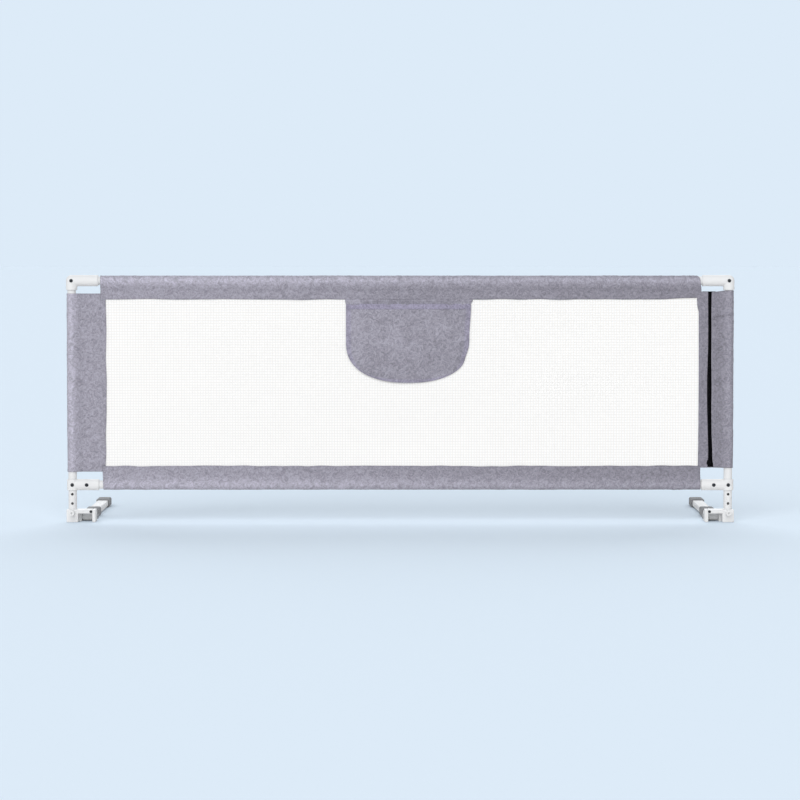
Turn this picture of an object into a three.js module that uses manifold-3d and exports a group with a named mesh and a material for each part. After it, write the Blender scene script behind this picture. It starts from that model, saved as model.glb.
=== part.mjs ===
// A folding bed guard rail: a mesh and fabric cover on a tubular frame, with two folding base arms.
// Millimetres. +X runs along the rail, +Y points towards the bed and +Z is up.
// The origin is at floor level, under the middle of the whole rail's bounding box.

import * as THREE from 'three';
import { mergeVertices } from 'three/addons/utils/BufferGeometryUtils.js';
import Module from 'manifold-3d';

const wasm = await Module();
wasm.setup();

// Whole rail
const overallLength = 1500;
const bottomRailHeight = 84;
const railSpacing = 460;

// Steel tube of the frame, and the short tubes that join the rail halves inside
const tubeRadius = 9.5;
const tubeWall = 1.2;
const joinerLength = 120;

// Clearances
const slideFit = 0.3;
const springFit = 0.3;
const overrun = 2;

// Corner sockets and tees of white plastic
const socketWall = 2.7;
const socketLength = 60;
const railStandoff = 1.5;
const elbowDrop = 21;
const postRise = 5;
const teeHeight = 25;

// Frame screws
const screwHeadRadius = 4;
const screwHeadHeight = 1.6;
const screwTipShare = 0.55;
const screwShankRadius = 1.9;
const screwLength = 9;
const screwSeatDepth = 0.9;
const railScrewReach = 32.6;

// Height holes in the posts
const holeRadius = 3;
const holePitch = 21;
const firstHoleHeight = 21;
const heightHoles = 3;

// End plugs of the posts
const plugFloorGap = 1;
const plugLip = 1.7;
const plugDepth = 12;

// Fabric cover
const fabricThickness = 1.2;
const meshThickness = 0.8;
const seamOverlap = 8;
const foldLength = 24;
const topBandReach = 42.5;
const bottomBandReach = 42;
const leftBandReach = 76.7;
const rightBandReach = 67.7;
const railSleeveInset = 65;
const leftSleeveTopGap = 29;
const leftSleeveBottomGap = 29.6;
const rightSleeveTopGap = 22.2;
const rightSleeveBottomGap = 38.6;

// Mesh net
const netGapsAlong = 28;
const netGapsUp = 8;
const netStrand = 14;

// Zip in the right sleeve, measured inboard from the right post
const zipOuterEdge = 40;
const zipOpening = 8.6;
const zipTapeWidth = 14;
const zipTapeThickness = 0.6;
const zipTapeGap = 1.2;
const zipEndMargin = 2;
const chainWidth = 4.4;
const chainThickness = 2;
const zipStopWidth = 6;
const zipStopLength = 3;
const sliderLength = 12;
const sliderPlateWidth = 10;
const sliderPlateThickness = 1.6;
const sliderFlange = 1.3;
const sliderFlangeDrop = 1.8;
const crownLength = 7;
const crownWidth = 3;
const crownHeight = 2.6;
const crownWall = 1;

// Patch pocket on the front of the mesh
const pocketCentre = 18;
const pocketHalfWidth = 140;
const pocketBottom = 314;
const pocketCurveHeight = 90;
const pocketRoundnessShare = 2.3;
const pocketDepth = 10;
const pocketHemHeight = 14;
const pocketHemThickness = 1;
const pocketHemInset = 6;

// Foot bracket that slides on the post
const collarHalfWidth = 13;
const collarHeight = 28.5;
const bridgeClearance = 0.5;
const earRadius = 10;
const earReach = 15.2;
const earPlateThickness = 7.2;
const tongueLength = 8.5;
const tongueWidth = 14;
const tongueHeight = 5;
const tongueSetback = 8;

// Screw that holds the ear plate
const earScrewHeadRadius = 3.2;
const earScrewHeadHeight = 1.8;
const earScrewShankRadius = 1.6;
const earScrewInset = 2.5;

// Height plunger in the bracket
const plungerHeadRadius = 4.1;
const plungerHeadLength = 2.2;
const plungerShaftRadius = 2.4;
const bossRadius = 6.5;
const bossLength = 6;
const bossCapThickness = 2;
const knobRadius = 6;
const knobLength = 8;
const knobDimpleRadius = 2.2;
const knobDimpleDepth = 3;

// Base arm
const armOffset = 32;
const armWidth = 25;
const armHeight = 14;
const armWall = 1.2;
const armCorner = 2.5;
const armLength = 400;
const armStart = 16;
const pivotDepth = 28;
const pivotHeight = 10;
const knuckleRadius = 9;
const armPlugLength = 20;
const endCapThickness = 6;
const endCapPlug = 14;

// Hinge pin, release button and its spring
const pinRadius = 3;
const pinHeadRadius = 5;
const pinHeadThickness = 2.2;
const pinEngagement = 10;
const buttonRadius = 5.6;
const buttonProud = 3;
const buttonShoulder = 1;
const buttonShoulderLength = 3.2;

// Coil springs
const springSteps = 8;
const wireSides = 5;
const plungerWireRadius = 0.3;
const plungerCoilRadius = 3.2;
const plungerTurns = 3;
const foldWireRadius = 0.4;
const foldCoilRadius = 5;
const foldTurns = 4;

// Rubber grips on the arm
const gripWall = 2.7;
const gripLength = 60;
const gripCorner = 4;
const innerGripStart = 82;
const outerGripEndGap = 14;

// Facets
const roundSides = 20;
const smallSides = 12;
const arcSteps = 12;
const cornerSteps = 3;
const pocketSteps = 16;
const ballRings = 10;

// Sizes worked out from the ones above
const tubeBore = tubeRadius - tubeWall;
const channelRadius = tubeRadius + slideFit;
const sleeveRadius = channelRadius + fabricThickness;
const postOffset = overallLength / 2 - sleeveRadius;
const topRailHeight = bottomRailHeight + railSpacing;
const socketRadius = channelRadius + socketWall;
const postBottom = plugFloorGap + plugLip + slideFit;
const postTop = topRailHeight + postRise;
const socketFloor = socketRadius + railStandoff;
const railStart = socketFloor + slideFit;
const layerInner = meshThickness / 2 + slideFit;
const layerOuter = layerInner + fabricThickness;
const railSleeveHalf = postOffset - railSleeveInset;
const topSeam = topRailHeight - topBandReach;
const bottomSeam = bottomRailHeight + bottomBandReach;
const armNear = armOffset - armWidth / 2;
const armFar = armOffset + armWidth / 2;
const bridgeUnderside = pivotHeight + knuckleRadius + bridgeClearance;
const earPlateNear = armFar + slideFit;
const earPlateFar = earPlateNear + earPlateThickness;
const earBack = pivotDepth - earRadius;
const gripHalfWidth = armWidth / 2 + slideFit + gripWall;
const gripHalfHeight = armHeight / 2 + slideFit + gripWall;
const armEnd = armStart + armLength;
const bossFront = collarHalfWidth + bossLength;
const knobFront = bossFront + slideFit + knobLength;
const reachToBed = pivotDepth + armEnd + slideFit + endCapThickness;
const middleDepth = (reachToBed - knobFront) / 2;
const zipCentre = zipOuterEdge + zipOpening / 2;
const zipBottom = bottomRailHeight + rightSleeveBottomGap + zipEndMargin;
const zipTop = topRailHeight - rightSleeveTopGap - zipEndMargin;

const X = new THREE.Vector3(1, 0, 0);
const Y = new THREE.Vector3(0, 1, 0);
const Z = new THREE.Vector3(0, 0, 1);

const finishes = {
  whitePaint: { color: 0xf2f3f4, roughness: 0.35, metalness: 0.1 },
  whitePlastic: { color: 0xeff0f2, roughness: 0.5, metalness: 0 },
  greyFabric: { color: 0xa3a1b0, roughness: 0.95, metalness: 0 },
  hemFabric: { color: 0x9895a7, roughness: 0.95, metalness: 0 },
  whiteMesh: { color: 0xfafafa, roughness: 0.9, metalness: 0 },
  blackTape: { color: 0x16161a, roughness: 0.9, metalness: 0 },
  blackNylon: { color: 0x111214, roughness: 0.45, metalness: 0 },
  darkSteel: { color: 0x2c2e33, roughness: 0.4, metalness: 0.8 },
  springSteel: { color: 0xb9bcc1, roughness: 0.3, metalness: 0.9 },
  greyRubber: { color: 0x8d8f94, roughness: 0.85, metalness: 0 },
};

// A closed three.js geometry as a solid for cutting and joining.
function solidOf(geometry) {
  const bare = geometry.clone();
  bare.deleteAttribute('normal');
  bare.deleteAttribute('uv');
  const merged = mergeVertices(bare);
  return new wasm.Manifold(new wasm.Mesh({
    numProp: 3,
    vertProperties: new Float32Array(merged.attributes.position.array),
    triVerts: new Uint32Array(merged.index.array),
  }));
}

// A solid back as a three.js geometry with flat faces.
function geometryOf(solid) {
  const { vertProperties, triVerts } = solid.getMesh();
  const indexed = new THREE.BufferGeometry();
  indexed.setAttribute('position', new THREE.BufferAttribute(vertProperties, 3));
  indexed.setIndex(new THREE.BufferAttribute(triVerts, 1));
  const geometry = indexed.toNonIndexed();
  geometry.computeVertexNormals();
  return geometry;
}

function join(...solids) {
  return solids.reduce((whole, next) => whole.add(next));
}

function cut(solid, ...cutters) {
  return cutters.reduce((rest, cutter) => rest.subtract(cutter), solid);
}

// A cone frustum along an axis, between two stations on it, through the point given by centre.
function frustum(axis, startRadius, endRadius, start, end, centre, sides) {
  const geometry = new THREE.CylinderGeometry(endRadius, startRadius, end - start, sides);
  const turn = new THREE.Quaternion().setFromUnitVectors(Y, axis);
  const middle = axis.clone().multiplyScalar((start + end) / 2).add(centre);
  return solidOf(geometry.applyQuaternion(turn).translate(middle.x, middle.y, middle.z));
}

function rod(axis, radius, start, end, centre, sides = roundSides) {
  return frustum(axis, radius, radius, start, end, centre, sides);
}

// A box from its lowest to its highest corner.
function block(x0, x1, y0, y1, z0, z1) {
  const geometry = new THREE.BoxGeometry(x1 - x0, y1 - y0, z1 - z0);
  return solidOf(geometry.translate((x0 + x1) / 2, (y0 + y1) / 2, (z0 + z1) / 2));
}

// A flat outline carried along a direction. The outline's own x and y lie along across and up.
function extrusion(shape, across, up, start, end, centre) {
  const along = new THREE.Vector3().crossVectors(across, up);
  const geometry = new THREE.ExtrudeGeometry(shape, {
    depth: end - start,
    bevelEnabled: false,
    curveSegments: cornerSteps,
  });
  const place = new THREE.Matrix4().makeBasis(across, up, along);
  place.setPosition(along.clone().multiplyScalar(start).add(centre));
  return solidOf(geometry.applyMatrix4(place));
}

function roundedRectangle(halfWidth, halfHeight, corner) {
  const shape = new THREE.Shape();
  shape.moveTo(corner - halfWidth, -halfHeight);
  shape.lineTo(halfWidth - corner, -halfHeight);
  shape.absarc(halfWidth - corner, corner - halfHeight, corner, -Math.PI / 2, 0);
  shape.lineTo(halfWidth, halfHeight - corner);
  shape.absarc(halfWidth - corner, halfHeight - corner, corner, 0, Math.PI / 2);
  shape.lineTo(corner - halfWidth, halfHeight);
  shape.absarc(corner - halfWidth, halfHeight - corner, corner, Math.PI / 2, Math.PI);
  shape.lineTo(-halfWidth, corner - halfHeight);
  shape.absarc(corner - halfWidth, corner - halfHeight, corner, Math.PI, Math.PI * 3 / 2);
  return shape;
}

function at(x, y, z) {
  return new THREE.Vector3(x, y, z);
}

// A helical wire along +X. It is one unbroken tube with both ends closed.
function coilGeometry(coilRadius, wireRadius, length, turns) {
  const rings = turns * springSteps + 1;
  const advance = length - wireRadius * 2;
  const positions = [];
  const triangles = [];
  for (let ring = 0; ring < rings; ring += 1) {
    const share = ring / (rings - 1);
    const angle = share * turns * Math.PI * 2;
    const outward = at(0, Math.cos(angle), Math.sin(angle));
    const centre = outward.clone().multiplyScalar(coilRadius).add(at(wireRadius + advance * share, 0, 0));
    for (let side = 0; side < wireSides; side += 1) {
      const turn = (side / wireSides) * Math.PI * 2;
      const point = centre.clone()
        .addScaledVector(outward, wireRadius * Math.cos(turn))
        .addScaledVector(X, wireRadius * Math.sin(turn));
      positions.push(point.x, point.y, point.z);
      if (ring > 0) {
        const here = ring * wireSides + side;
        const beside = ring * wireSides + (side + 1) % wireSides;
        triangles.push(here - wireSides, beside, beside - wireSides, here - wireSides, here, beside);
      }
    }
  }
  const last = (rings - 1) * wireSides;
  for (let side = 1; side < wireSides - 1; side += 1) {
    triangles.push(0, side, side + 1, last, last + side + 1, last + side);
  }
  const geometry = new THREE.BufferGeometry();
  geometry.setAttribute('position', new THREE.Float32BufferAttribute(positions, 3));
  geometry.setIndex(triangles);
  const gap = advance / turns - wireRadius * 2;
  console.log(`coil of ${turns} turns: least gap to itself ${gap.toFixed(2)} mm`);
  return geometry;
}

// A straight hollow tube of round section.
function roundTube(axis, radius, wall, start, end, centre) {
  const outside = rod(axis, radius, start, end, centre);
  return cut(outside, rod(axis, radius - wall, start - overrun, end + overrun, centre));
}

// Posts and rails of the frame

function postSolid() {
  const post = roundTube(Z, tubeRadius, tubeWall, postBottom, postTop, at(0, 0, 0));
  const holes = [];
  for (let hole = 0; hole < heightHoles; hole += 1) {
    const height = firstHoleHeight + hole * holePitch;
    holes.push(rod(Y, holeRadius, -tubeRadius - overrun, 0, at(0, 0, height), smallSides));
  }
  for (const height of [bottomRailHeight, topRailHeight]) {
    holes.push(screwHole(at(0, 0, height)));
  }
  return cut(post, ...holes);
}

// A clearance hole for a frame screw, from the front to the middle of a tube.
function screwHole(centre) {
  return rod(Y, screwShankRadius + slideFit, -tubeRadius - overrun, 0, centre, smallSides);
}

function railSolid(height, screwAtTee) {
  const rail = roundTube(X, tubeRadius, tubeWall, railStart, postOffset - slideFit / 2, at(0, 0, height));
  return screwAtTee ? cut(rail, screwHole(at(railScrewReach, 0, height))) : rail;
}

function joinerSolid(height) {
  const radius = tubeBore - slideFit;
  return roundTube(X, radius, tubeWall, -joinerLength / 2, joinerLength / 2, at(0, 0, height));
}

function postPlugSolid() {
  const lip = rod(Z, tubeRadius, plugFloorGap, plugFloorGap + plugLip, at(0, 0, 0));
  const stem = rod(Z, tubeBore - slideFit, plugFloorGap, postBottom + plugDepth, at(0, 0, 0));
  return join(lip, stem);
}

// A seat for a frame screw: a flat recess and a hole through the plastic wall.
function screwSeat(centre) {
  const floor = screwSeatDepth - socketRadius;
  const recess = rod(Y, screwHeadRadius + slideFit, -socketRadius - overrun, floor, centre, smallSides);
  const through = rod(Y, screwShankRadius + slideFit, floor - slideFit, 0, centre, smallSides);
  return join(recess, through);
}

function railSocket(height) {
  return rod(X, socketRadius, 0, socketLength, at(0, 0, height));
}

function railBore(height) {
  return rod(X, channelRadius, socketFloor, socketLength + overrun, at(0, 0, height));
}

function elbowSolid() {
  const bottom = topRailHeight - elbowDrop;
  const ball = solidOf(new THREE.SphereGeometry(socketRadius, roundSides, ballRings)
    .rotateX(Math.PI / 2).translate(0, 0, topRailHeight));
  const collar = rod(Z, socketRadius, bottom, topRailHeight, at(0, 0, 0));
  const body = join(collar, ball, railSocket(topRailHeight));
  const postBore = rod(Z, channelRadius, bottom - overrun, postTop + slideFit, at(0, 0, 0));
  return cut(body, postBore, railBore(topRailHeight), screwSeat(at(0, 0, topRailHeight)));
}

function teeSolid() {
  const bottom = bottomRailHeight - teeHeight / 2;
  const top = bottomRailHeight + teeHeight / 2;
  const body = join(rod(Z, socketRadius, bottom, top, at(0, 0, 0)), railSocket(bottomRailHeight));
  const postBore = rod(Z, channelRadius, bottom - overrun, top + overrun, at(0, 0, 0));
  return cut(body, postBore, railBore(bottomRailHeight), screwSeat(at(0, 0, bottomRailHeight)),
    screwSeat(at(railScrewReach, 0, bottomRailHeight)));
}

// A pan-head screw that points along +Y, with its head on the seat of a socket.
function frameScrewSolid(centre) {
  const under = screwSeatDepth - socketRadius - slideFit;
  const tip = screwHeadRadius * screwTipShare;
  const head = frustum(Y, tip, screwHeadRadius, under - screwHeadHeight, under, centre, smallSides);
  const inHead = under - screwHeadHeight / 2;
  const shank = rod(Y, screwShankRadius, inHead, under + screwLength, centre, smallSides);
  return join(head, shank);
}

// Fabric cover

// The section of a sleeve: one strip that runs round a tube and comes together as a band of two layers.
// x is the reach from the tube towards the mesh, y is the side, and the front layer may stop early.
function sleeveShape(reach, frontReach) {
  const outer = wrapPoints(sleeveRadius, layerOuter);
  const inner = wrapPoints(channelRadius, layerInner).reverse();
  return new THREE.Shape([
    new THREE.Vector2(reach, layerOuter),
    ...outer,
    new THREE.Vector2(frontReach, -layerOuter),
    new THREE.Vector2(frontReach, -layerInner),
    ...inner,
    new THREE.Vector2(reach, layerInner),
  ]);
}

// Points from the start of the band, along the tangent, round the tube and back to the band.
function wrapPoints(radius, half) {
  const start = Math.atan2(half, foldLength) + Math.acos(radius / Math.hypot(foldLength, half));
  const points = [new THREE.Vector2(foldLength, half)];
  for (let step = 0; step <= arcSteps; step += 1) {
    const angle = start + (Math.PI * 2 - start * 2) * step / arcSteps;
    points.push(new THREE.Vector2(radius * Math.cos(angle), radius * Math.sin(angle)));
  }
  points.push(new THREE.Vector2(foldLength, -half));
  return points;
}

function topSleeveSolid() {
  const shape = sleeveShape(topBandReach, topBandReach);
  return extrusion(shape, Z.clone().negate(), Y, -railSleeveHalf, railSleeveHalf, at(0, 0, topRailHeight));
}

function bottomSleeveSolid() {
  const shape = sleeveShape(bottomBandReach, bottomBandReach);
  return extrusion(shape, Z, Y, -railSleeveHalf, railSleeveHalf, at(0, 0, bottomRailHeight));
}

// What the top and bottom sleeves take out of a side sleeve, so that the bands meet edge to edge.
function bandCorners() {
  const half = railSleeveHalf + slideFit;
  const front = -layerOuter - overrun;
  const back = layerOuter + overrun;
  return [
    block(-half, half, front, back, topSeam - slideFit, topRailHeight),
    block(-half, half, front, back, bottomRailHeight, bottomSeam + slideFit),
  ];
}

function leftSleeveSolid() {
  const bottom = bottomRailHeight + leftSleeveBottomGap;
  const top = topRailHeight - leftSleeveTopGap;
  const shape = sleeveShape(leftBandReach, leftBandReach);
  return cut(extrusion(shape, X, Y, bottom, top, at(-postOffset, 0, 0)), ...bandCorners());
}

function rightSleeveSolid() {
  const bottom = bottomRailHeight + rightSleeveBottomGap;
  const top = topRailHeight - rightSleeveTopGap;
  const shape = sleeveShape(rightBandReach, zipOuterEdge);
  return cut(extrusion(shape, X.clone().negate(), Y, -top, -bottom, at(postOffset, 0, 0)), ...bandCorners());
}

function zipFlapSolid() {
  const bottom = bottomRailHeight + rightSleeveBottomGap;
  const top = topRailHeight - rightSleeveTopGap;
  const near = postOffset - rightBandReach;
  const far = postOffset - zipOuterEdge - zipOpening;
  return cut(block(near, far, -layerOuter, -layerInner, bottom, top), ...bandCorners());
}

// A flat net: a grid of lines across and up, where every cell is strand or gap. Cells with an odd
// count both ways are gaps, and a wall stands on every side of a gap and round the outside.
function netGeometry(across, up, half) {
  const columns = across.length;
  const vertex = (i, j, back) => (j * columns + i) * 2 + back;
  const isSolid = (i, j) => i >= 0 && j >= 0 && i < columns - 1 && j < up.length - 1
    && !(i % 2 === 1 && j % 2 === 1);
  const positions = [];
  const triangles = [];
  const quad = (a, b, c, d) => triangles.push(a, b, c, a, c, d);
  for (const height of up) {
    for (const station of across) {
      positions.push(station, -half, height, station, half, height);
    }
  }
  for (let j = 0; j < up.length - 1; j += 1) {
    for (let i = 0; i < columns - 1; i += 1) {
      if (isSolid(i, j)) {
        quad(vertex(i, j, 0), vertex(i + 1, j, 0), vertex(i + 1, j + 1, 0), vertex(i, j + 1, 0));
        quad(vertex(i, j, 1), vertex(i, j + 1, 1), vertex(i + 1, j + 1, 1), vertex(i + 1, j, 1));
        if (!isSolid(i - 1, j)) {
          quad(vertex(i, j, 0), vertex(i, j + 1, 0), vertex(i, j + 1, 1), vertex(i, j, 1));
        }
        if (!isSolid(i + 1, j)) {
          quad(vertex(i + 1, j, 0), vertex(i + 1, j, 1), vertex(i + 1, j + 1, 1), vertex(i + 1, j + 1, 0));
        }
        if (!isSolid(i, j - 1)) {
          quad(vertex(i, j, 0), vertex(i, j, 1), vertex(i + 1, j, 1), vertex(i + 1, j, 0));
        }
        if (!isSolid(i, j + 1)) {
          quad(vertex(i, j + 1, 0), vertex(i + 1, j + 1, 0), vertex(i + 1, j + 1, 1), vertex(i, j + 1, 1));
        }
      }
    }
  }
  const geometry = new THREE.BufferGeometry();
  geometry.setAttribute('position', new THREE.Float32BufferAttribute(positions, 3));
  geometry.setIndex(triangles);
  return geometry;
}

// The lines of the net between two seams: an edge, then each gap and strand in turn, then an edge.
function netLines(low, high, gaps) {
  const pitch = (high - low + netStrand) / gaps;
  const lines = [low - seamOverlap];
  for (let gap = 0; gap < gaps; gap += 1) {
    const start = low + gap * pitch;
    lines.push(gap === 0 ? start + netStrand / 2 : start, start + pitch - netStrand);
  }
  lines[lines.length - 1] = high - netStrand / 2;
  lines.push(high + seamOverlap);
  return lines;
}

function meshSolid() {
  const across = netLines(leftBandReach - postOffset, postOffset - rightBandReach, netGapsAlong);
  const up = netLines(bottomSeam, topSeam, netGapsUp);
  return solidOf(netGeometry(across, up, meshThickness / 2));
}

// Zip

function zipTapeSolid(near) {
  const half = zipTapeThickness / 2;
  return block(near, near + zipTapeWidth, -half, half, zipBottom, zipTop);
}

// Depths of the chain, from its back on the tapes to its front.
const chainBack = -zipTapeThickness / 2 - slideFit;
const chainFront = chainBack - chainThickness;

function zipChainSolid() {
  const centre = postOffset - zipCentre;
  const strip = (width, bottom, top) => block(centre - width / 2, centre + width / 2, chainFront, chainBack,
    bottom, top);
  return join(strip(chainWidth, zipBottom, zipTop), strip(zipStopWidth, zipBottom, zipBottom + zipStopLength),
    strip(zipStopWidth, zipTop - zipStopLength, zipTop));
}

function zipSliderSolid() {
  const centre = postOffset - zipCentre;
  const bottom = zipBottom + zipStopLength + slideFit;
  const top = bottom + sliderLength;
  const plateBack = chainFront - slideFit;
  const plateFront = plateBack - sliderPlateThickness;
  const plate = block(centre - sliderPlateWidth / 2, centre + sliderPlateWidth / 2, plateFront, plateBack,
    bottom, top);
  const flanges = [-1, 1].map((side) => {
    const inner = centre + side * (chainWidth / 2 + slideFit);
    const outer = inner + side * sliderFlange;
    return block(Math.min(inner, outer), Math.max(inner, outer), plateFront, plateBack + sliderFlangeDrop,
      bottom, top);
  });
  const middle = (bottom + top) / 2;
  const crownFront = plateFront - crownHeight;
  const crown = block(centre - crownWidth / 2, centre + crownWidth / 2, crownFront, plateBack,
    middle - crownLength / 2, middle + crownLength / 2);
  const eye = block(centre - crownWidth, centre + crownWidth, crownFront + crownWall, plateFront,
    middle - crownLength / 2 + crownWall, middle + crownLength / 2 - crownWall);
  return join(plate, ...flanges, cut(crown, eye));
}

// Pocket

// A pocket outline: straight sides, and a bottom that follows a superellipse.
function pocketShape(inset, top) {
  const halfWidth = pocketHalfWidth - inset;
  const drop = pocketCurveHeight - inset;
  const curveTop = pocketBottom + pocketCurveHeight;
  const power = 2 / pocketRoundnessShare;
  const points = [new THREE.Vector2(pocketCentre + halfWidth, top)];
  points.push(new THREE.Vector2(pocketCentre - halfWidth, top));
  for (let step = 0; step <= pocketSteps; step += 1) {
    const angle = Math.PI * step / pocketSteps;
    const side = Math.sign(Math.cos(angle)) * Math.abs(Math.cos(angle)) ** power;
    points.push(new THREE.Vector2(pocketCentre - halfWidth * side,
      curveTop - drop * Math.abs(Math.sin(angle)) ** power));
  }
  return new THREE.Shape(points);
}

function pocketSolid() {
  const top = topSeam - slideFit;
  const back = layerInner;
  const front = back + pocketDepth;
  const centre = at(0, 0, 0);
  const outside = extrusion(pocketShape(0, top), X, Z, back, front, centre);
  const inside = extrusion(pocketShape(fabricThickness, top + overrun), X, Z, back - overrun,
    front - fabricThickness, centre);
  return cut(outside, inside);
}

function pocketHemSolid() {
  const top = topSeam - slideFit;
  const back = -layerInner - pocketDepth - slideFit;
  const half = pocketHalfWidth - pocketHemInset;
  return block(pocketCentre - half, pocketCentre + half, back - pocketHemThickness, back,
    top - pocketHemHeight, top);
}

// Foot bracket, measured inboard from the post along +X

const hingeCentre = at(0, pivotDepth, pivotHeight);
const plungerCentre = at(0, 0, firstHoleHeight);
const earScrewCentre = at(armFar - earScrewInset, 0, (bridgeUnderside + collarHeight) / 2);

// The part of the bracket and its ear plate that stands over the arm, in plan and height.
function bridgeBlock(near, far) {
  return block(near, far, -collarHalfWidth, earBack, bridgeUnderside, collarHeight);
}

// The tongue of the ear plate, grown by a clearance for its pocket in the bridge.
function tongueBlock(clearance) {
  const middle = (bridgeUnderside + collarHeight) / 2;
  const front = tongueSetback - collarHalfWidth;
  return block(earPlateNear - tongueLength - clearance, earPlateNear + overrun, front - clearance,
    front + tongueWidth + clearance, middle - tongueHeight / 2 - clearance,
    middle + tongueHeight / 2 + clearance);
}

function earScrewHole() {
  return rod(Y, earScrewShankRadius + slideFit, -collarHalfWidth - overrun, tongueSetback, earScrewCentre,
    smallSides);
}

function bracketSolid() {
  const half = collarHalfWidth;
  const collar = block(-half, half, -half, half, 0, collarHeight);
  const boss = rod(Y, bossRadius, -bossFront, -channelRadius, plungerCentre);
  const earNear = armNear - slideFit - earReach;
  const ear = join(rod(X, earRadius, earNear, armNear - slideFit, hingeCentre),
    block(earNear, armNear - slideFit, half - overrun, pivotDepth, 0, bridgeUnderside));
  const body = join(collar, boss, ear, bridgeBlock(0, armFar));
  const springFloor = -bossFront + bossCapThickness;
  return cut(body,
    rod(Z, channelRadius, -overrun, collarHeight + overrun, at(0, 0, 0)),
    rod(Y, plungerHeadRadius + slideFit, springFloor, 0, plungerCentre, smallSides),
    rod(Y, plungerShaftRadius + slideFit, -bossFront - overrun, 0, plungerCentre, smallSides),
    rod(X, pinRadius + slideFit, earNear - overrun, armFar, hingeCentre, smallSides),
    tongueBlock(slideFit),
    earScrewHole());
}

function earPlateSolid() {
  const head = rod(X, earRadius, earPlateNear, earPlateFar, hingeCentre);
  const web = block(earPlateNear, earPlateFar, -collarHalfWidth, pivotDepth, 0, bridgeUnderside);
  const body = join(head, web, bridgeBlock(earPlateNear, earPlateFar), tongueBlock(0));
  const bore = rod(X, buttonRadius + slideFit, earPlateNear - overrun, earPlateFar + overrun, hingeCentre);
  return cut(body, bore, earScrewHole());
}

function earScrewSolid() {
  const under = -collarHalfWidth - slideFit;
  const head = frustum(Y, earScrewHeadRadius * screwTipShare, earScrewHeadRadius, under - earScrewHeadHeight,
    under, earScrewCentre, smallSides);
  const tip = tongueSetback - collarHalfWidth + tongueWidth / 2;
  return join(head, rod(Y, earScrewShankRadius, under - earScrewHeadHeight / 2, tip, earScrewCentre,
    smallSides));
}

// The shaft's head stops short of the post, so that the bracket can slide while it is drawn whole.
function plungerSolid() {
  const headBack = -channelRadius;
  const headFront = headBack - plungerHeadLength;
  const knobBack = -bossFront - slideFit;
  const head = rod(Y, plungerHeadRadius, headFront, headBack, plungerCentre, smallSides);
  const shaft = rod(Y, plungerShaftRadius, knobBack - overrun, headBack, plungerCentre, smallSides);
  const knob = rod(Y, knobRadius, -knobFront, knobBack, plungerCentre);
  const dimple = rod(Y, knobDimpleRadius, -knobFront - overrun, knobDimpleDepth - knobFront, plungerCentre,
    smallSides);
  return cut(join(head, shaft, knob), dimple);
}

function plungerSpringSolid() {
  const start = -channelRadius - plungerHeadLength - springFit;
  const floor = -bossFront + bossCapThickness + springFit;
  const coil = coilGeometry(plungerCoilRadius, plungerWireRadius, start - floor, plungerTurns);
  return solidOf(coil.rotateZ(Math.PI / 2).translate(0, floor, firstHoleHeight));
}

function hingePinSolid() {
  const earNear = armNear - slideFit - earReach;
  const head = rod(X, pinHeadRadius, earNear - slideFit - pinHeadThickness, earNear - slideFit, hingeCentre,
    smallSides);
  const shaft = rod(X, pinRadius, earNear - slideFit - overrun, armNear + pinEngagement, hingeCentre,
    smallSides);
  return join(head, shaft);
}

// The button's shoulder sits in the knuckle, behind the ear plate, and keeps the button in.
function foldButtonSolid() {
  const shoulderFar = earPlateNear - slideFit;
  const shoulderNear = shoulderFar - buttonShoulderLength;
  return join(
    rod(X, buttonRadius, shoulderNear, earPlateFar + buttonProud, hingeCentre),
    rod(X, buttonRadius + buttonShoulder, shoulderNear, shoulderFar, hingeCentre),
  );
}

// Base arm, with its origin on the hinge axis

const pocketFloorReach = armNear + pinEngagement + slideFit;

function knuckleSolid() {
  const centre = at(0, 0, 0);
  const half = armHeight / 2;
  const body = join(
    rod(X, knuckleRadius, armNear, armFar, centre),
    block(armNear, armFar, 0, armStart - slideFit, -half, half),
    armPlug(armStart - overrun, armStart + armPlugLength),
  );
  return cut(body,
    rod(X, pinRadius + slideFit, armNear - overrun, armFar, centre, smallSides),
    rod(X, buttonRadius + buttonShoulder + slideFit, pocketFloorReach, armFar + overrun, centre));
}

// A plug that slides into the arm tube.
function armPlug(start, end) {
  const inside = armWall + slideFit;
  const outline = roundedRectangle(armWidth / 2 - inside, armHeight / 2 - inside, armCorner - armWall);
  return extrusion(outline, X.clone().negate(), Z, start, end, at(armOffset, 0, 0));
}

function foldSpringSolid() {
  const start = pocketFloorReach + springFit;
  const end = earPlateNear - slideFit - buttonShoulderLength - springFit;
  return solidOf(coilGeometry(foldCoilRadius, foldWireRadius, end - start, foldTurns).translate(start, 0, 0));
}

function armTubeSolid() {
  const outline = roundedRectangle(armWidth / 2, armHeight / 2, armCorner);
  outline.holes.push(roundedRectangle(armWidth / 2 - armWall, armHeight / 2 - armWall, armCorner - armWall));
  return extrusion(outline, X.clone().negate(), Z, armStart, armEnd, at(armOffset, 0, 0));
}

function endCapSolid() {
  const cap = roundedRectangle(armWidth / 2, armHeight / 2, armCorner);
  const back = armEnd + slideFit;
  return join(
    extrusion(cap, X.clone().negate(), Z, back, back + endCapThickness, at(armOffset, 0, 0)),
    armPlug(armEnd - endCapPlug, back + overrun),
  );
}

function gripSolid(start) {
  const outline = roundedRectangle(gripHalfWidth, gripHalfHeight, gripCorner);
  outline.holes.push(roundedRectangle(armWidth / 2 + slideFit, armHeight / 2 + slideFit, armCorner));
  return extrusion(outline, X.clone().negate(), Z, start, start + gripLength, at(armOffset, 0, 0));
}

// Assembly

function addPiece(holder, name, solid, finish) {
  const material = new THREE.MeshStandardMaterial({ ...finishes[finish], flatShading: true });
  const mesh = new THREE.Mesh(geometryOf(solid), material);
  mesh.name = name;
  holder.add(mesh);
}

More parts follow.
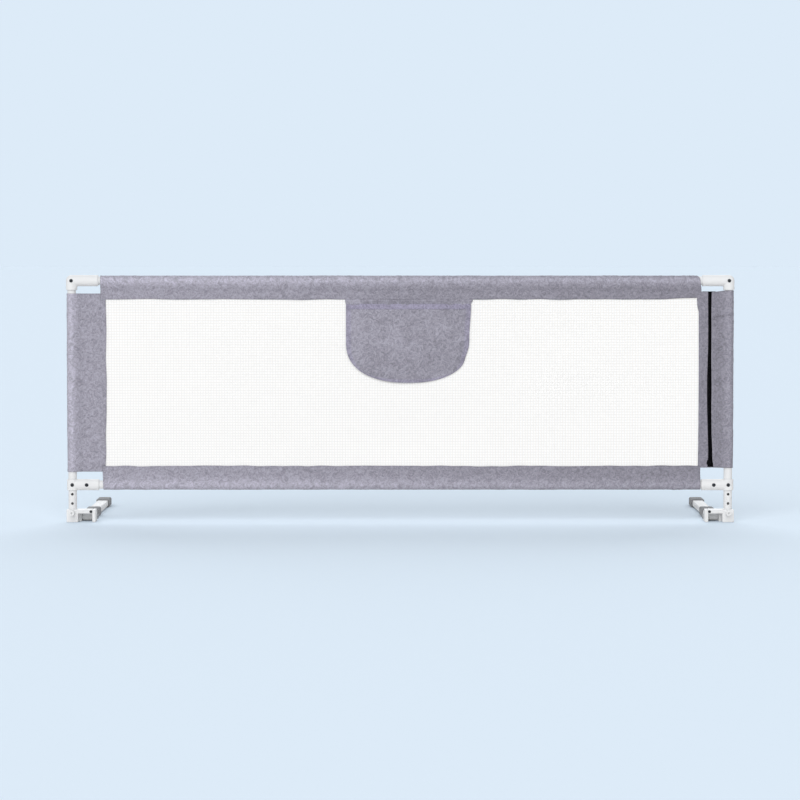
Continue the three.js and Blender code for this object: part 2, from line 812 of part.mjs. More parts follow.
function addCover(cover) {
  addPiece(cover, 'mesh_panel', meshSolid(), 'whiteMesh');
  addPiece(cover, 'top_sleeve', topSleeveSolid(), 'greyFabric');
  addPiece(cover, 'bottom_sleeve', bottomSleeveSolid(), 'greyFabric');
  addPiece(cover, 'left_sleeve', leftSleeveSolid(), 'greyFabric');
  addPiece(cover, 'right_sleeve', rightSleeveSolid(), 'greyFabric');
  addPiece(cover, 'right_zip_flap', zipFlapSolid(), 'greyFabric');
  addPiece(cover, 'pocket', pocketSolid(), 'greyFabric');
  addPiece(cover, 'pocket_hem', pocketHemSolid(), 'hemFabric');
  const centre = postOffset - zipCentre;
  addPiece(cover, 'zip_tape_inner', zipTapeSolid(centre - zipTapeGap / 2 - zipTapeWidth), 'blackTape');
  addPiece(cover, 'zip_tape_outer', zipTapeSolid(centre + zipTapeGap / 2), 'blackTape');
  addPiece(cover, 'zip_chain', zipChainSolid(), 'blackNylon');
  addPiece(cover, 'zip_slider', zipSliderSolid(), 'blackNylon');
}

function addFrameSide(side, name) {
  addPiece(side, `${name}_post`, postSolid(), 'whitePaint');
  addPiece(side, `${name}_post_plug`, postPlugSolid(), 'whitePlastic');
  addPiece(side, `${name}_top_rail`, railSolid(topRailHeight, false), 'whitePaint');
  addPiece(side, `${name}_bottom_rail`, railSolid(bottomRailHeight, true), 'whitePaint');
  addPiece(side, `${name}_elbow`, elbowSolid(), 'whitePlastic');
  addPiece(side, `${name}_elbow_screw`, frameScrewSolid(at(0, 0, topRailHeight)), 'darkSteel');
  addPiece(side, `${name}_tee`, teeSolid(), 'whitePlastic');
  addPiece(side, `${name}_tee_post_screw`, frameScrewSolid(at(0, 0, bottomRailHeight)), 'darkSteel');
  addPiece(side, `${name}_tee_rail_screw`, frameScrewSolid(at(railScrewReach, 0, bottomRailHeight)),
    'darkSteel');
}

function addBracket(side, name) {
  addPiece(side, `${name}_bracket`, bracketSolid(), 'whitePlastic');
  addPiece(side, `${name}_ear_plate`, earPlateSolid(), 'whitePlastic');
  addPiece(side, `${name}_ear_screw`, earScrewSolid(), 'darkSteel');
  addPiece(side, `${name}_hinge_pin`, hingePinSolid(), 'springSteel');
  addPiece(side, `${name}_plunger`, plungerSolid(), 'whitePlastic');
  addPiece(side, `${name}_plunger_spring`, plungerSpringSolid(), 'springSteel');
  addPiece(side, `${name}_fold_button`, foldButtonSolid(), 'greyRubber');
}

function addArm(side, name) {
  const arm = new THREE.Group();
  arm.position.copy(hingeCentre);
  side.add(arm);
  addPiece(arm, `${name}_knuckle`, knuckleSolid(), 'whitePlastic');
  addPiece(arm, `${name}_fold_spring`, foldSpringSolid(), 'springSteel');
  addPiece(arm, `${name}_arm_tube`, armTubeSolid(), 'whitePaint');
  addPiece(arm, `${name}_arm_end_cap`, endCapSolid(), 'whitePlastic');
  addPiece(arm, `${name}_inner_grip`, gripSolid(innerGripStart), 'greyRubber');
  addPiece(arm, `${name}_outer_grip`, gripSolid(armEnd - outerGripEndGap - gripLength), 'greyRubber');
}

const group = new THREE.Group();
group.position.y = -middleDepth;

addCover(group);
addPiece(group, 'top_rail_joiner', joinerSolid(topRailHeight), 'springSteel');
addPiece(group, 'bottom_rail_joiner', joinerSolid(bottomRailHeight), 'springSteel');

for (const [name, direction] of [['left', 1], ['right', -1]]) {
  const side = new THREE.Group();
  side.position.x = -direction * postOffset;
  side.scale.x = direction;
  group.add(side);
  addFrameSide(side, name);
  addBracket(side, name);
  addArm(side, name);
}

export default group;
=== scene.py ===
# %% [markdown]
# # A folding bed guard rail
# This guard rail keeps a child in bed. A cover of grey melange cloth with a white net in the middle is pulled over
# a frame of white steel tube. Plastic elbows and tees join the tubes, and two arms fold out under the mattress.
# The construction, with its real sizes and its joints, is loaded as a fixed frame. Everything below gives it its
# looks: each piece is worked out as a surface with numpy, in metres, in the same place as the part it stands for.

# %% Load the fixed frame
import math

import bpy
import numpy as np
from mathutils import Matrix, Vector


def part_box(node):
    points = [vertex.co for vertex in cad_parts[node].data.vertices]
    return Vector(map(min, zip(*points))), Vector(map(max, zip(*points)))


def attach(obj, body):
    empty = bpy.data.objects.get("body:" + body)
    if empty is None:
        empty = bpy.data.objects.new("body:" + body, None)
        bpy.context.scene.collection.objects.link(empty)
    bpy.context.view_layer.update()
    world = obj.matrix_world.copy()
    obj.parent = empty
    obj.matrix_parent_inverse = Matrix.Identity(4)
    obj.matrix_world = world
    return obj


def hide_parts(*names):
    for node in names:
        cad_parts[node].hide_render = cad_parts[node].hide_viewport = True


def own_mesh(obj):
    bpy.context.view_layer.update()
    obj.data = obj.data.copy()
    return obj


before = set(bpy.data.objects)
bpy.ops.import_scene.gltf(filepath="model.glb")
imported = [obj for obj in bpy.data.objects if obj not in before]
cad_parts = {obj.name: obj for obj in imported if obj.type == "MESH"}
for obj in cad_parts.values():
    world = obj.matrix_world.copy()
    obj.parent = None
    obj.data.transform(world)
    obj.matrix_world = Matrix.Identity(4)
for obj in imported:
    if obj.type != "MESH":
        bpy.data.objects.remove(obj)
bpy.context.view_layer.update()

scene = bpy.context.scene

# %% [markdown]
# ## Sizes read from the frame
# A size that a part's box holds is read from there: its ends, its middle and its radius. What the boxes leave out,
# such as the thickness of a thread or the place of a hole, gets a number here.

# %% Sizes read from the frame
MM = 0.001
TURN = 2 * np.pi


def low_of(node):
    """The corner of a part's box with the least x, y and z."""
    return np.array(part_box(node)[0])


def high_of(node):
    """The corner of a part's box with the greatest x, y and z."""
    return np.array(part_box(node)[1])


def corners_of(node):
    """Both corners of a part's box."""
    return low_of(node), high_of(node)


def middle_of(node):
    """The middle of a part's box: the mean of its two corners."""
    return sum(corners_of(node)) / 2


panel_y = middle_of("top_sleeve")[1]
post_x = middle_of("right_post")[0]
tube_radius = (high_of("right_post") - low_of("right_post"))[0] / 2
top_rail_z = middle_of("left_top_rail")[2]
bottom_rail_z = middle_of("left_bottom_rail")[2]
sleeve_radius = high_of("top_sleeve")[2] - top_rail_z
band_outside = panel_y - low_of("right_zip_flap")[1]
print(f"post axis {post_x:.4f}, rails at {bottom_rail_z:.3f} and {top_rail_z:.3f}, panel plane {panel_y:.4f}")

# %% [markdown]
# ## From numbers to meshes
# A surface is a grid of points: two parameters go in, and one array of places comes out. Each square of the grid
# becomes a face. A direction that closes on itself, such as round a tube, joins its last row to its first.

# %% Grids and meshes
def grid_faces(rows, columns, wrap_rows=False, wrap_columns=False, flip=False):
    """Point numbers of each square: a point, the next in its row, and the same two in the next row."""
    i = np.arange(rows if wrap_rows else rows - 1)[:, None]
    j = np.arange(columns if wrap_columns else columns - 1)[None, :]
    n = (i + 1) % rows
    m = (j + 1) % columns
    quads = np.stack(np.broadcast_arrays(i * columns + j, n * columns + j, n * columns + m, i * columns + m), -1)
    quads = quads.reshape(-1, 4)
    return quads[:, ::-1] if flip else quads


def capped(rings, sides):
    """Faces of a tube of rings whose two ends close on two poles, which are the last two points."""
    here = np.arange(sides)
    beside = (here + 1) % sides
    last, pole = (rings - 1) * sides, rings * sides
    start = np.stack([beside, here, 0 * here + pole], 1)
    end = np.stack([last + here, last + beside, 0 * here + pole + 1], 1)
    return grid_faces(rings, sides, wrap_columns=True, flip=True), np.concatenate([start, end])


def outward(points, *face_sets):
    """Faces that look outwards: a closed surface has a positive volume, so a negative one is turned over."""
    volume = 0.0
    for faces in face_sets:
        for k in range(1, faces.shape[1] - 1):
            second, third = points[faces[:, k]], points[faces[:, k + 1]]
            volume += (points[faces[:, 0]] * np.cross(second, third)).sum()
    return face_sets if volume > 0 else [faces[:, ::-1] for faces in face_sets]


def fill(name, points, *face_sets):
    """A mesh object from an array of points and arrays of faces, each array with one number of corners."""
    counts = np.concatenate([np.full(len(faces), faces.shape[1]) for faces in face_sets])
    corners = np.concatenate([faces.ravel() for faces in face_sets])
    mesh = bpy.data.meshes.new(name)
    mesh.vertices.add(len(points))
    mesh.vertices.foreach_set("co", np.asarray(points, np.float32).ravel())
    mesh.loops.add(len(corners))
    mesh.loops.foreach_set("vertex_index", corners.astype(np.int32))
    mesh.polygons.add(len(counts))
    starts = np.concatenate([[0], np.cumsum(counts)[:-1]])
    mesh.polygons.foreach_set("loop_start", starts.astype(np.int32))
    mesh.polygons.foreach_set("use_smooth", np.ones(len(counts), bool))
    mesh.update(calc_edges=True)
    mesh.validate()
    made = bpy.data.objects.new(name, mesh)
    scene.collection.objects.link(made)
    return made


def fill_closed(name, points, *face_sets):
    """The same for a closed surface, which is made to look outwards."""
    return fill(name, points, *outward(points, *face_sets))


def dress(piece, material, body="panel", stands_for=()):
    """Gives a finished piece its material, the body it rides on and the nodes it stands for."""
    piece.data.materials.append(material)
    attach(piece, body)
    if stands_for:
        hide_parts(*stands_for)
    piece.data.calc_loop_triangles()
    print(f"{piece.name}: {len(piece.data.loop_triangles)} triangles on {body}")
    return piece


def soft_waves(a, b, shortest, longest, seed, count=26):
    """Smooth random relief of unit spread: plane waves with random headings, starts and lengths are summed."""
    rng = np.random.default_rng(seed)
    lengths = np.exp(rng.uniform(np.log(shortest), np.log(longest), count))
    headings = rng.uniform(0, TURN, count)
    starts = rng.uniform(0, TURN, count)
    total = 0.0
    for length, heading, start in zip(lengths, headings, starts):
        total = total + np.sin((a * np.cos(heading) + b * np.sin(heading)) * TURN / length + start)
    return total / np.sqrt(count / 2)


def line_waves(along, shortest, longest, seed, count=26):
    """The same relief along one line only."""
    return soft_waves(along, 0 * along, shortest, longest, seed, count)


def creases(a, b, size, seed):
    """Narrow winding folds from 0 to 1: the zero lines of warped waves, deep here and fading there."""
    warped_a = a + 0.4 * size * soft_waves(a, b, size, 4 * size, seed, 12)
    warped_b = b + 0.4 * size * soft_waves(a, b, size, 4 * size, seed + 1, 12)
    fold = soft_waves(warped_a, warped_b, size, 2.4 * size, seed + 2, 12)
    here = ease(soft_waves(a, b, 4 * size, 12 * size, seed + 3, 12), -0.7, 1.3)
    return bell(fold, 0, 0.32) * here


def ease(value, start, end):
    """0 before start and 1 after end, with a soft S between: three times the square less twice the cube."""
    share = np.clip((value - start) / (end - start), 0, 1)
    return share * share * (3 - 2 * share)


def bell(value, centre, width):
    """1 at the centre and 0 far from it: e to the power of minus the squared distance, counted in widths."""
    return np.exp(-((value - centre) / width) ** 2)


# %% [markdown]
# ## Camera
# The rail was photographed from the front with a long lens, almost level, so its outline is nearly a drawing.
# A long focal length and a camera far away give the same flat perspective.

# %% Camera
CAMERA_DISTANCE = 7.01
CAMERA_ELEVATION = math.radians(3.0)
FOCAL_LENGTH = 140.0
aim = Vector((-0.0005, panel_y, 0.2752))
back = Vector((0, -math.cos(CAMERA_ELEVATION), math.sin(CAMERA_ELEVATION)))
camera = bpy.data.objects.new("camera", bpy.data.cameras.new("camera"))
camera.data.lens = FOCAL_LENGTH
camera.data.sensor_width = 36.0
camera.location = aim + back * CAMERA_DISTANCE
camera.rotation_euler = (-back).to_track_quat("-Z", "Y").to_euler()
camera.data.clip_end = 200.0
scene.collection.objects.link(camera)
scene.camera = camera
scene.view_settings.view_transform = "Standard"
print("camera at", [round(c, 3) for c in camera.location])

# %% [markdown]
# ## Nodes in few words
# A material is a small network. One helper adds a node, sets its values and joins its inputs, so that each
# finish below reads as a short recipe.

# %% Material helpers
def add(tree, kind, inputs=None, **settings):
    """Adds a shader node. An input that is given a socket is joined to it, and any other is set."""
    made = tree.nodes.new("ShaderNode" + kind)
    for name, value in settings.items():
        setattr(made, name, value)
    for name, value in (inputs or {}).items():
        if isinstance(value, bpy.types.NodeSocket):
            tree.links.new(value, made.inputs[name])
        else:
            made.inputs[name].default_value = value
    return made


def calc(tree, operation, *values):
    """The result of one sum, whose terms are sockets or numbers."""
    return add(tree, "Math", dict(enumerate(values)), operation=operation).outputs[0]


def speckle(tree, scale, detail, **more):
    """Cloudy noise from 0 to 1 on the piece's own place. Its scale is the number of its clouds in a metre."""
    place = add(tree, "TexCoord").outputs["Object"]
    return add(tree, "TexNoise", {"Vector": place, "Scale": scale, "Detail": detail, **more}).outputs["Fac"]


def finish(name, colour, roughness, **sockets):
    """A material with a Principled shader, and its constants set on the shader's own sockets."""
    material = bpy.data.materials.new(name)
    material.use_nodes = True
    tree = material.node_tree
    shader = tree.nodes["Principled BSDF"]
    shader.inputs["Base Color"].default_value = (*colour, 1)
    shader.inputs["Roughness"].default_value = roughness
    for socket, value in sockets.items():
        shader.inputs[socket.replace("_", " ")].default_value = value
    return material, tree, shader


def tint(tree, shader, share, dark, light):
    """Colours the shader from dark to light, as a share from 0 to 1 says."""
    ramp = add(tree, "Mix", {"Factor": share, "A": (*dark, 1), "B": (*light, 1)}, data_type="RGBA")
    tree.links.new(ramp.outputs["Result"], shader.inputs["Base Color"])
    return ramp


def bump(tree, shader, height, distance):
    """Tilts the shader's normals as if the surface rose by the height times the distance."""
    made = add(tree, "Bump", {"Height": height, "Distance": distance, "Strength": 1.0})
    tree.links.new(made.outputs["Normal"], shader.inputs["Normal"])


def shade(colour, factor):
    """A colour times a factor, and at most white."""
    return tuple(min(1.0, channel * factor) for channel in colour)


# %% [markdown]
# ## Floor and light
# The floor and the sky behind it share one pale blue, so no horizon shows. The blue is only for what the camera
# and the reflections see: light that bounces off the floor stays neutral, or the white net would turn blue.
# The light is an even dome and two very broad, distant lamps. The one at the front, a little to the left, shapes
# the rail, and the one behind answers it, so that a pale shadow lies on both sides of the rail.

# %% Floor, sky and lamps
BACKDROP = (0.7230, 0.8308, 0.9387)
NEUTRAL_FLOOR = (0.82, 0.82, 0.82)
FLOOR_HALF = 60.0
DOME_STRENGTH = 0.46


def seen_directly(tree):
    """1 for what the camera, a reflection or a clear material sees, and 0 for light that bounces."""
    path = add(tree, "LightPath")
    either = calc(tree, "MAXIMUM", path.outputs["Is Camera Ray"], path.outputs["Is Glossy Ray"])
    return calc(tree, "MAXIMUM", either, path.outputs["Is Transmission Ray"])


floor_finish, tree, shader = finish("floor", BACKDROP, 1.0, Specular_IOR_Level=0.0)
tint(tree, shader, seen_directly(tree), NEUTRAL_FLOOR, BACKDROP)
floor_points = np.array([(-1, -1, 0), (1, -1, 0), (1, 1, 0), (-1, 1, 0)]) * FLOOR_HALF
floor = fill("floor", floor_points, np.array([[0, 1, 2, 3]]))
floor.data.materials.append(floor_finish)

world = bpy.data.worlds.new("sky")
scene.world = world
world.use_nodes = True
sky_tree = world.node_tree
dome = add(sky_tree, "Background", {"Color": (1, 1, 1, 1), "Strength": DOME_STRENGTH})
backdrop = add(sky_tree, "Background", {"Color": (*BACKDROP, 1), "Strength": 1.0})
both = add(sky_tree, "MixShader", {0: seen_directly(sky_tree), 1: dome.outputs[0], 2: backdrop.outputs[0]})
sky_tree.links.new(both.outputs[0], sky_tree.nodes["World Output"].inputs["Surface"])


def broad_lamp(name, azimuth, elevation, strength, width):
    """A distant lamp. Azimuth 0 is in front of the rail and 90 to its right, and width is its size in the sky."""
    data = bpy.data.lights.new(name, "SUN")
    data.energy = strength
    data.angle = math.radians(width)
    lamp = bpy.data.objects.new(name, data)
    turn, rise = math.radians(azimuth), math.radians(elevation)
    towards = Vector((math.sin(turn) * math.cos(rise), -math.cos(turn) * math.cos(rise), math.sin(rise)))
    lamp.rotation_euler = (-towards).to_track_quat("-Z", "Y").to_euler()
    scene.collection.objects.link(lamp)


broad_lamp("front_lamp", -12, 31, 1.76, 60)
broad_lamp("rear_lamp", 180, 30, 1.60, 60)

# %% [markdown]
# ## Cloth
# The cover is a heathered cloth: light and dark fibres are spun together, so each thread changes shade along its
# length. A plain weave is drawn from the piece's own UV map, which holds real distances, so the threads keep their
# width wherever the cloth goes. Where the cloth is stretched round a tube it opens up and looks paler; the same
# share also holds a painted highlight along the tube's front, painted shade along band edges and in creases, and
# painted light where the pocket's facing lies in shade. A painted falloff of light makes it a little darker
# towards the right end, and it is a little more lilac where the pocket's edge is turned under.

# %% Cloth
CLOTH_SHADE = (0.309, 0.300, 0.360)
HEM_SHADE = (0.324, 0.305, 0.415)
PAINTED_LIGHT_FALLOFF_PER_METRE = -0.29
THREAD_PITCH = 0.55 * MM
FIBRE_SHARE = 0.46
MELANGE_CONTRAST = 4.6
DARKEST_FIBRE, PALEST_FIBRE = 0.66, 1.34
STRETCH_AND_LIGHT_GAIN = 1.30
TURNED_TONE = (1.00, 0.98, 1.07)


def weave(tree, vector, pitch):
    """Height of a plain weave from 0 to 1, and which thread is on top: the signs of two sines alternate it."""
    parts = add(tree, "SeparateXYZ", {"Vector": vector})
    warp = calc(tree, "SINE", calc(tree, "MULTIPLY", parts.outputs["X"], np.pi / pitch))
    weft = calc(tree, "SINE", calc(tree, "MULTIPLY", parts.outputs["Y"], np.pi / pitch))
    over = calc(tree, "GREATER_THAN", calc(tree, "MULTIPLY", warp, weft), 0.0)
    upper = calc(tree, "MULTIPLY", over, calc(tree, "ABSOLUTE", warp))
    lower = calc(tree, "MULTIPLY", calc(tree, "SUBTRACT", 1.0, over), calc(tree, "ABSOLUTE", weft))
    return calc(tree, "ADD", upper, lower), over


def threads(tree, vector, along, across, seed):
    """Noise drawn out along one direction, as fibres are: its scale differs along and across the thread."""
    scale = (1 / along, 1 / across, 1)
    turned = add(tree, "Mapping", {"Vector": vector, "Scale": scale, "Location": (seed, 0, 0)})
    noise = add(tree, "TexNoise", {"Vector": turned.outputs[0], "Scale": 1.0, "Detail": 2.0})
    return noise.outputs["Fac"]


def cloth_finish(name, colour):
    """Melange cloth: fibre colours by thread direction, swirled streaks of darker yarn and a woven relief. The
    colour is made paler or darker by the stretch_and_painted_light share, with its painted highlights and painted
    shade, and by a painted falloff of light towards the right.
    """
    material, tree, shader = finish(name, colour, 0.92, Sheen_Weight=0.12, Sheen_Roughness=0.5)
    uv = add(tree, "UVMap", uv_map="cloth").outputs[0]
    height, over = weave(tree, uv, THREAD_PITCH)
    warp = threads(tree, uv, 7 * MM, 1.3 * MM, 3.0)
    weft = threads(tree, uv, 1.3 * MM, 7 * MM, 9.0)
    fibre = add(tree, "Mix", {"Factor": over, "A": weft, "B": warp}).outputs[0]
    swirl = add(tree, "TexNoise", {"Vector": uv, "Scale": 1 / (14 * MM), "Detail": 4.0, "Roughness": 0.66,
                                   "Distortion": 2.2}).outputs["Fac"]
    streaks = calc(tree, "MULTIPLY", swirl, 1 - FIBRE_SHARE)
    heather = calc(tree, "ADD", calc(tree, "MULTIPLY", fibre, FIBRE_SHARE), streaks)
    share = calc(tree, "MULTIPLY_ADD", calc(tree, "SUBTRACT", heather, 0.5), MELANGE_CONTRAST, 0.5)
    base = tint(tree, shader, share, shade(colour, DARKEST_FIBRE), shade(colour, PALEST_FIBRE))
    # painted light: the share is paler where the cloth is stretched over a tube, and also holds the painted
    # highlights, painted shade and painted light set on each piece
    stretch_and_painted_light = add(tree, "Attribute", attribute_name="stretch_and_painted_light").outputs["Fac"]
    place = add(tree, "SeparateXYZ", {"Vector": add(tree, "TexCoord").outputs["Object"]}).outputs["X"]
    paler = calc(tree, "MULTIPLY_ADD", stretch_and_painted_light, STRETCH_AND_LIGHT_GAIN - 1, 1.0)
    # painted shade: the colour grows darker towards the right end, a painted falloff of the light
    light_falloff = calc(tree, "MINIMUM", calc(tree, "MULTIPLY_ADD", place, PAINTED_LIGHT_FALLOFF_PER_METRE, 1.0), 1.13)
    painted_light_gain = calc(tree, "MULTIPLY", paler, light_falloff)
    whole = add(tree, "VectorMath", {0: base.outputs["Result"], "Scale": painted_light_gain}, operation="SCALE")
    turned = add(tree, "Attribute", attribute_name="turned").outputs["Fac"]
    tone = add(tree, "Mix", {"Factor": turned, "A": (1, 1, 1, 1), "B": (*TURNED_TONE, 1)}, data_type="RGBA")
    toned = add(tree, "VectorMath", {0: whole.outputs[0], 1: tone.outputs["Result"]}, operation="MULTIPLY")
    tree.links.new(toned.outputs[0], shader.inputs["Base Color"])
    relief = calc(tree, "MULTIPLY_ADD", fibre, 0.5, height)
    bump(tree, shader, relief, 0.16 * MM)
    return material


cloth = cloth_finish("melange_cloth", CLOTH_SHADE)
hem_cloth = cloth_finish("hem_cloth", HEM_SHADE)

thread, tree, shader = finish("sewing_thread", (0.36, 0.35, 0.43), 0.6, Sheen_Weight=0.2)
thread_place = add(tree, "TexCoord").outputs["Object"]
thread_twist = add(tree, "TexWave", {"Vector": thread_place, "Scale": 900.0, "Distortion": 1.5},
                   bands_direction="DIAGONAL")
# painted shade: the twist's grooves are tinted darker than its ridges
tint(tree, shader, thread_twist.outputs["Fac"], (0.27, 0.26, 0.33), (0.42, 0.41, 0.49))
bump(tree, shader, thread_twist.outputs["Fac"], 0.06 * MM)

# %% [markdown]
# ## Sleeves
# Each sleeve is one strip of cloth that runs round a tube and comes back on itself as a flat band of two layers,
# which holds the net between them. Both long edges are turned under as a hem. The section of the strip is a line
# in two dimensions, and carrying it along the tube gives the sleeve: that is one grid, with small random relief
# for the way that cloth settles, dips along the seams and slight gathers where the thread pulls.

# %% The section of a sleeve
CLOTH_THICKNESS = 0.7 * MM
HEM_WIDTH = 7.0 * MM
HEM_TURN = 0.4 * MM
FOLD_START = 24.0 * MM
SECTION_STEP = 2.6 * MM
tube_line = sleeve_radius - CLOTH_THICKNESS / 2
band_line = band_outside - CLOTH_THICKNESS / 2


def edge_turn(reach, side):
    """A turned hem at the end of a band: in along the underside, round a half circle, and out on the outside."""
    angle = np.linspace(-np.pi / 2, np.pi / 2, 7)
    under = band_line - 2 * HEM_TURN
    inward = np.linspace(reach - HEM_WIDTH, reach - HEM_TURN, 5)[:-1]
    line = np.stack([inward, np.full(4, under)], 1)
    centre = np.array([reach - HEM_TURN, band_line - HEM_TURN])
    turn = centre + HEM_TURN * np.stack([np.cos(angle), np.sin(angle)], 1)
    return np.concatenate([line, turn]) * (1, side)


def strip_section(back_reach, front_reach):
    """The strip's mid line from its back hem to its front hem, as reach from the tube's axis and side."""
    start = math.atan2(band_line, FOLD_START) + math.acos(tube_line / math.hypot(FOLD_START, band_line))
    angle = np.linspace(start, TURN - start, 27)
    round_tube = tube_line * np.stack([np.cos(angle), np.sin(angle)], 1)

    def run(from_point, to_point):
        """Even points between two places, without either end."""
        count = max(2, int(np.hypot(*np.subtract(to_point, from_point)) / SECTION_STEP))
        return np.linspace(from_point, to_point, count + 1)[1:-1]

    fold = np.array([FOLD_START, band_line])
    mirror = np.array([1, -1])
    return np.concatenate([
        edge_turn(back_reach, 1),
        run((back_reach - HEM_TURN, band_line), fold),
        run(fold, round_tube[0]),
        round_tube,
        run(round_tube[-1], fold * mirror),
        run(fold * mirror, (front_reach - HEM_TURN, -band_line)),
        edge_turn(front_reach, -1)[::-1],
    ])


def with_step(section, limit):
    """The section with a pair of points close on each side of a reach, so that a notch there can be sharp."""
    length = line_lengths(section)
    places = [length]
    for wanted in (limit - 0.1 * MM, limit + 0.1 * MM):
        off = section[:, 0] - wanted
        k = np.flatnonzero(off[:-1] * off[1:] < 0)
        places.append(length[k] + (length[k + 1] - length[k]) * off[k] / (off[k] - off[k + 1]))
    return read_off(np.sort(np.concatenate(places)), length, section)


def section_lift(section):
    """The direction that relief pushes each point of a section: away from the tube, or off the band."""
    reach, side = section.T
    away = np.stack([reach, side], 1) / np.hypot(reach, side)[:, None]
    off_band = np.stack([np.zeros_like(side), np.sign(side)], 1)
    share = ease(reach, 0.5 * tube_line, 1.6 * tube_line)[:, None]
    mixed = away * (1 - share) + off_band * share
    return mixed / np.linalg.norm(mixed, axis=1)[:, None]


def line_lengths(section):
    """How far each point lies along a line: the running sum of the steps from point to point."""
    return np.concatenate([[0], np.cumsum(np.linalg.norm(np.diff(section, axis=0), axis=1))])


def read_off(wanted, length, values):
    """The values at some lengths along a line, in straight steps between its points."""
    return np.stack([np.interp(wanted, length, column) for column in values.T], 1)


sample = strip_section(42 * MM, 42 * MM)
print(f"a strip's section has {len(sample)} points and is {line_lengths(sample)[-1] * 1000:.0f} mm of cloth")

# %% [markdown]
# ## Laying a sleeve
# A sleeve needs to know where its tube runs, which way its band reaches, and where it starts and ends. Its band
# edge may wander a little, as a sewn edge does, and its ends may be cut at a slope or stop short at a corner.

# %% Laying a sleeve
ALONG_STEP = 2.7 * MM
SEAM_INSET = 3.0 * MM
DIP_WIDTH = 1.6 * MM
END_ROW = 6.0 * MM
PAINTED_EDGE_SHADE = -0.5
Y_AXIS = np.array([0.0, 1.0, 0.0])
X_AXIS = np.array([1.0, 0.0, 0.0])
Z_AXIS = np.array([0.0, 0.0, 1.0])


def sleeve_relief(reach, around, from_edge, along, to_end, seed, folds):
    """How far the cloth stands off its mid line: slow waves, small creases, seam dips with gathers, end hems."""
    fine = creases(along, around, 13 * MM, seed + 500)
    band = ease(reach, 1.3 * tube_line, FOLD_START)
    slow = soft_waves(along, around, 60 * MM, 240 * MM, seed)
    small = soft_waves(along, around, 9 * MM, 40 * MM, seed + 1)
    gathers = line_waves(along, 5 * MM, 14 * MM, seed + 2)
    near_seam = bell(from_edge, SEAM_INSET, DIP_WIDTH)
    beside_seam = bell(from_edge, 3 * SEAM_INSET, 6 * MM)
    end_row = bell(to_end, END_ROW, 1.5 * MM)
    end_hem = ease(END_ROW - to_end, 0, 1.5 * MM)
    on_band = 0.20 * slow + 0.16 * small + 0.45 * fine + 0.10 * gathers * (near_seam + beside_seam)
    on_tube = 0.22 * np.abs(slow) + 0.16 * np.abs(small) + 0.45 * fine
    relief = on_band * band + on_tube * (1 - band) - 0.22 * near_seam - 0.18 * end_row + folds
    return np.maximum(relief + 0.15 * end_hem, -0.30) * MM


def grid_normals(points, flip):
    """Unit normals of a grid: the cross product of its differences along the two directions."""
    normal = np.cross(np.gradient(points, axis=0), np.gradient(points, axis=1))
    normal /= np.linalg.norm(normal, axis=-1, keepdims=True) + 1e-12
    return -normal if flip else normal


def cloth_map(piece, along, around):
    """A UV map in metres, so that the weave keeps its true scale."""
    uv = piece.data.uv_layers.new(name="cloth")
    corner = np.empty(len(piece.data.loops), np.int32)
    piece.data.loops.foreach_get("vertex_index", corner)
    flat = np.stack(np.broadcast_arrays(along, around), -1).reshape(-1, 2)[corner]
    uv.data.foreach_set("uv", flat.astype(np.float32).ravel())


def share_map(piece, name, share):
    """A number for each point, which a material reads by its name."""
    attribute = piece.data.attributes.new(name, "FLOAT", "POINT")
    attribute.data.foreach_set("value", share.astype(np.float32).ravel())


def thicken(piece, thickness):
    """Gives a surface a thickness, half of it on each side."""
    wall = piece.modifiers.new("thickness", "SOLIDIFY")
    wall.thickness = thickness
    wall.offset = 0.0


def grid_sheet(name, points, flip=False):
    """The open surface of a grid of points."""
    return fill(name, points.reshape(-1, 3), grid_faces(*points.shape[:2], flip=flip))


def carry(axis, reach_way, along_way, reach, side, along):
    """A point is the tube's axis, plus its reach and its side, plus its distance along."""
    points = axis + reach[..., None] * reach_way + side[..., None] * Y_AXIS
    return points + along[..., None] * along_way


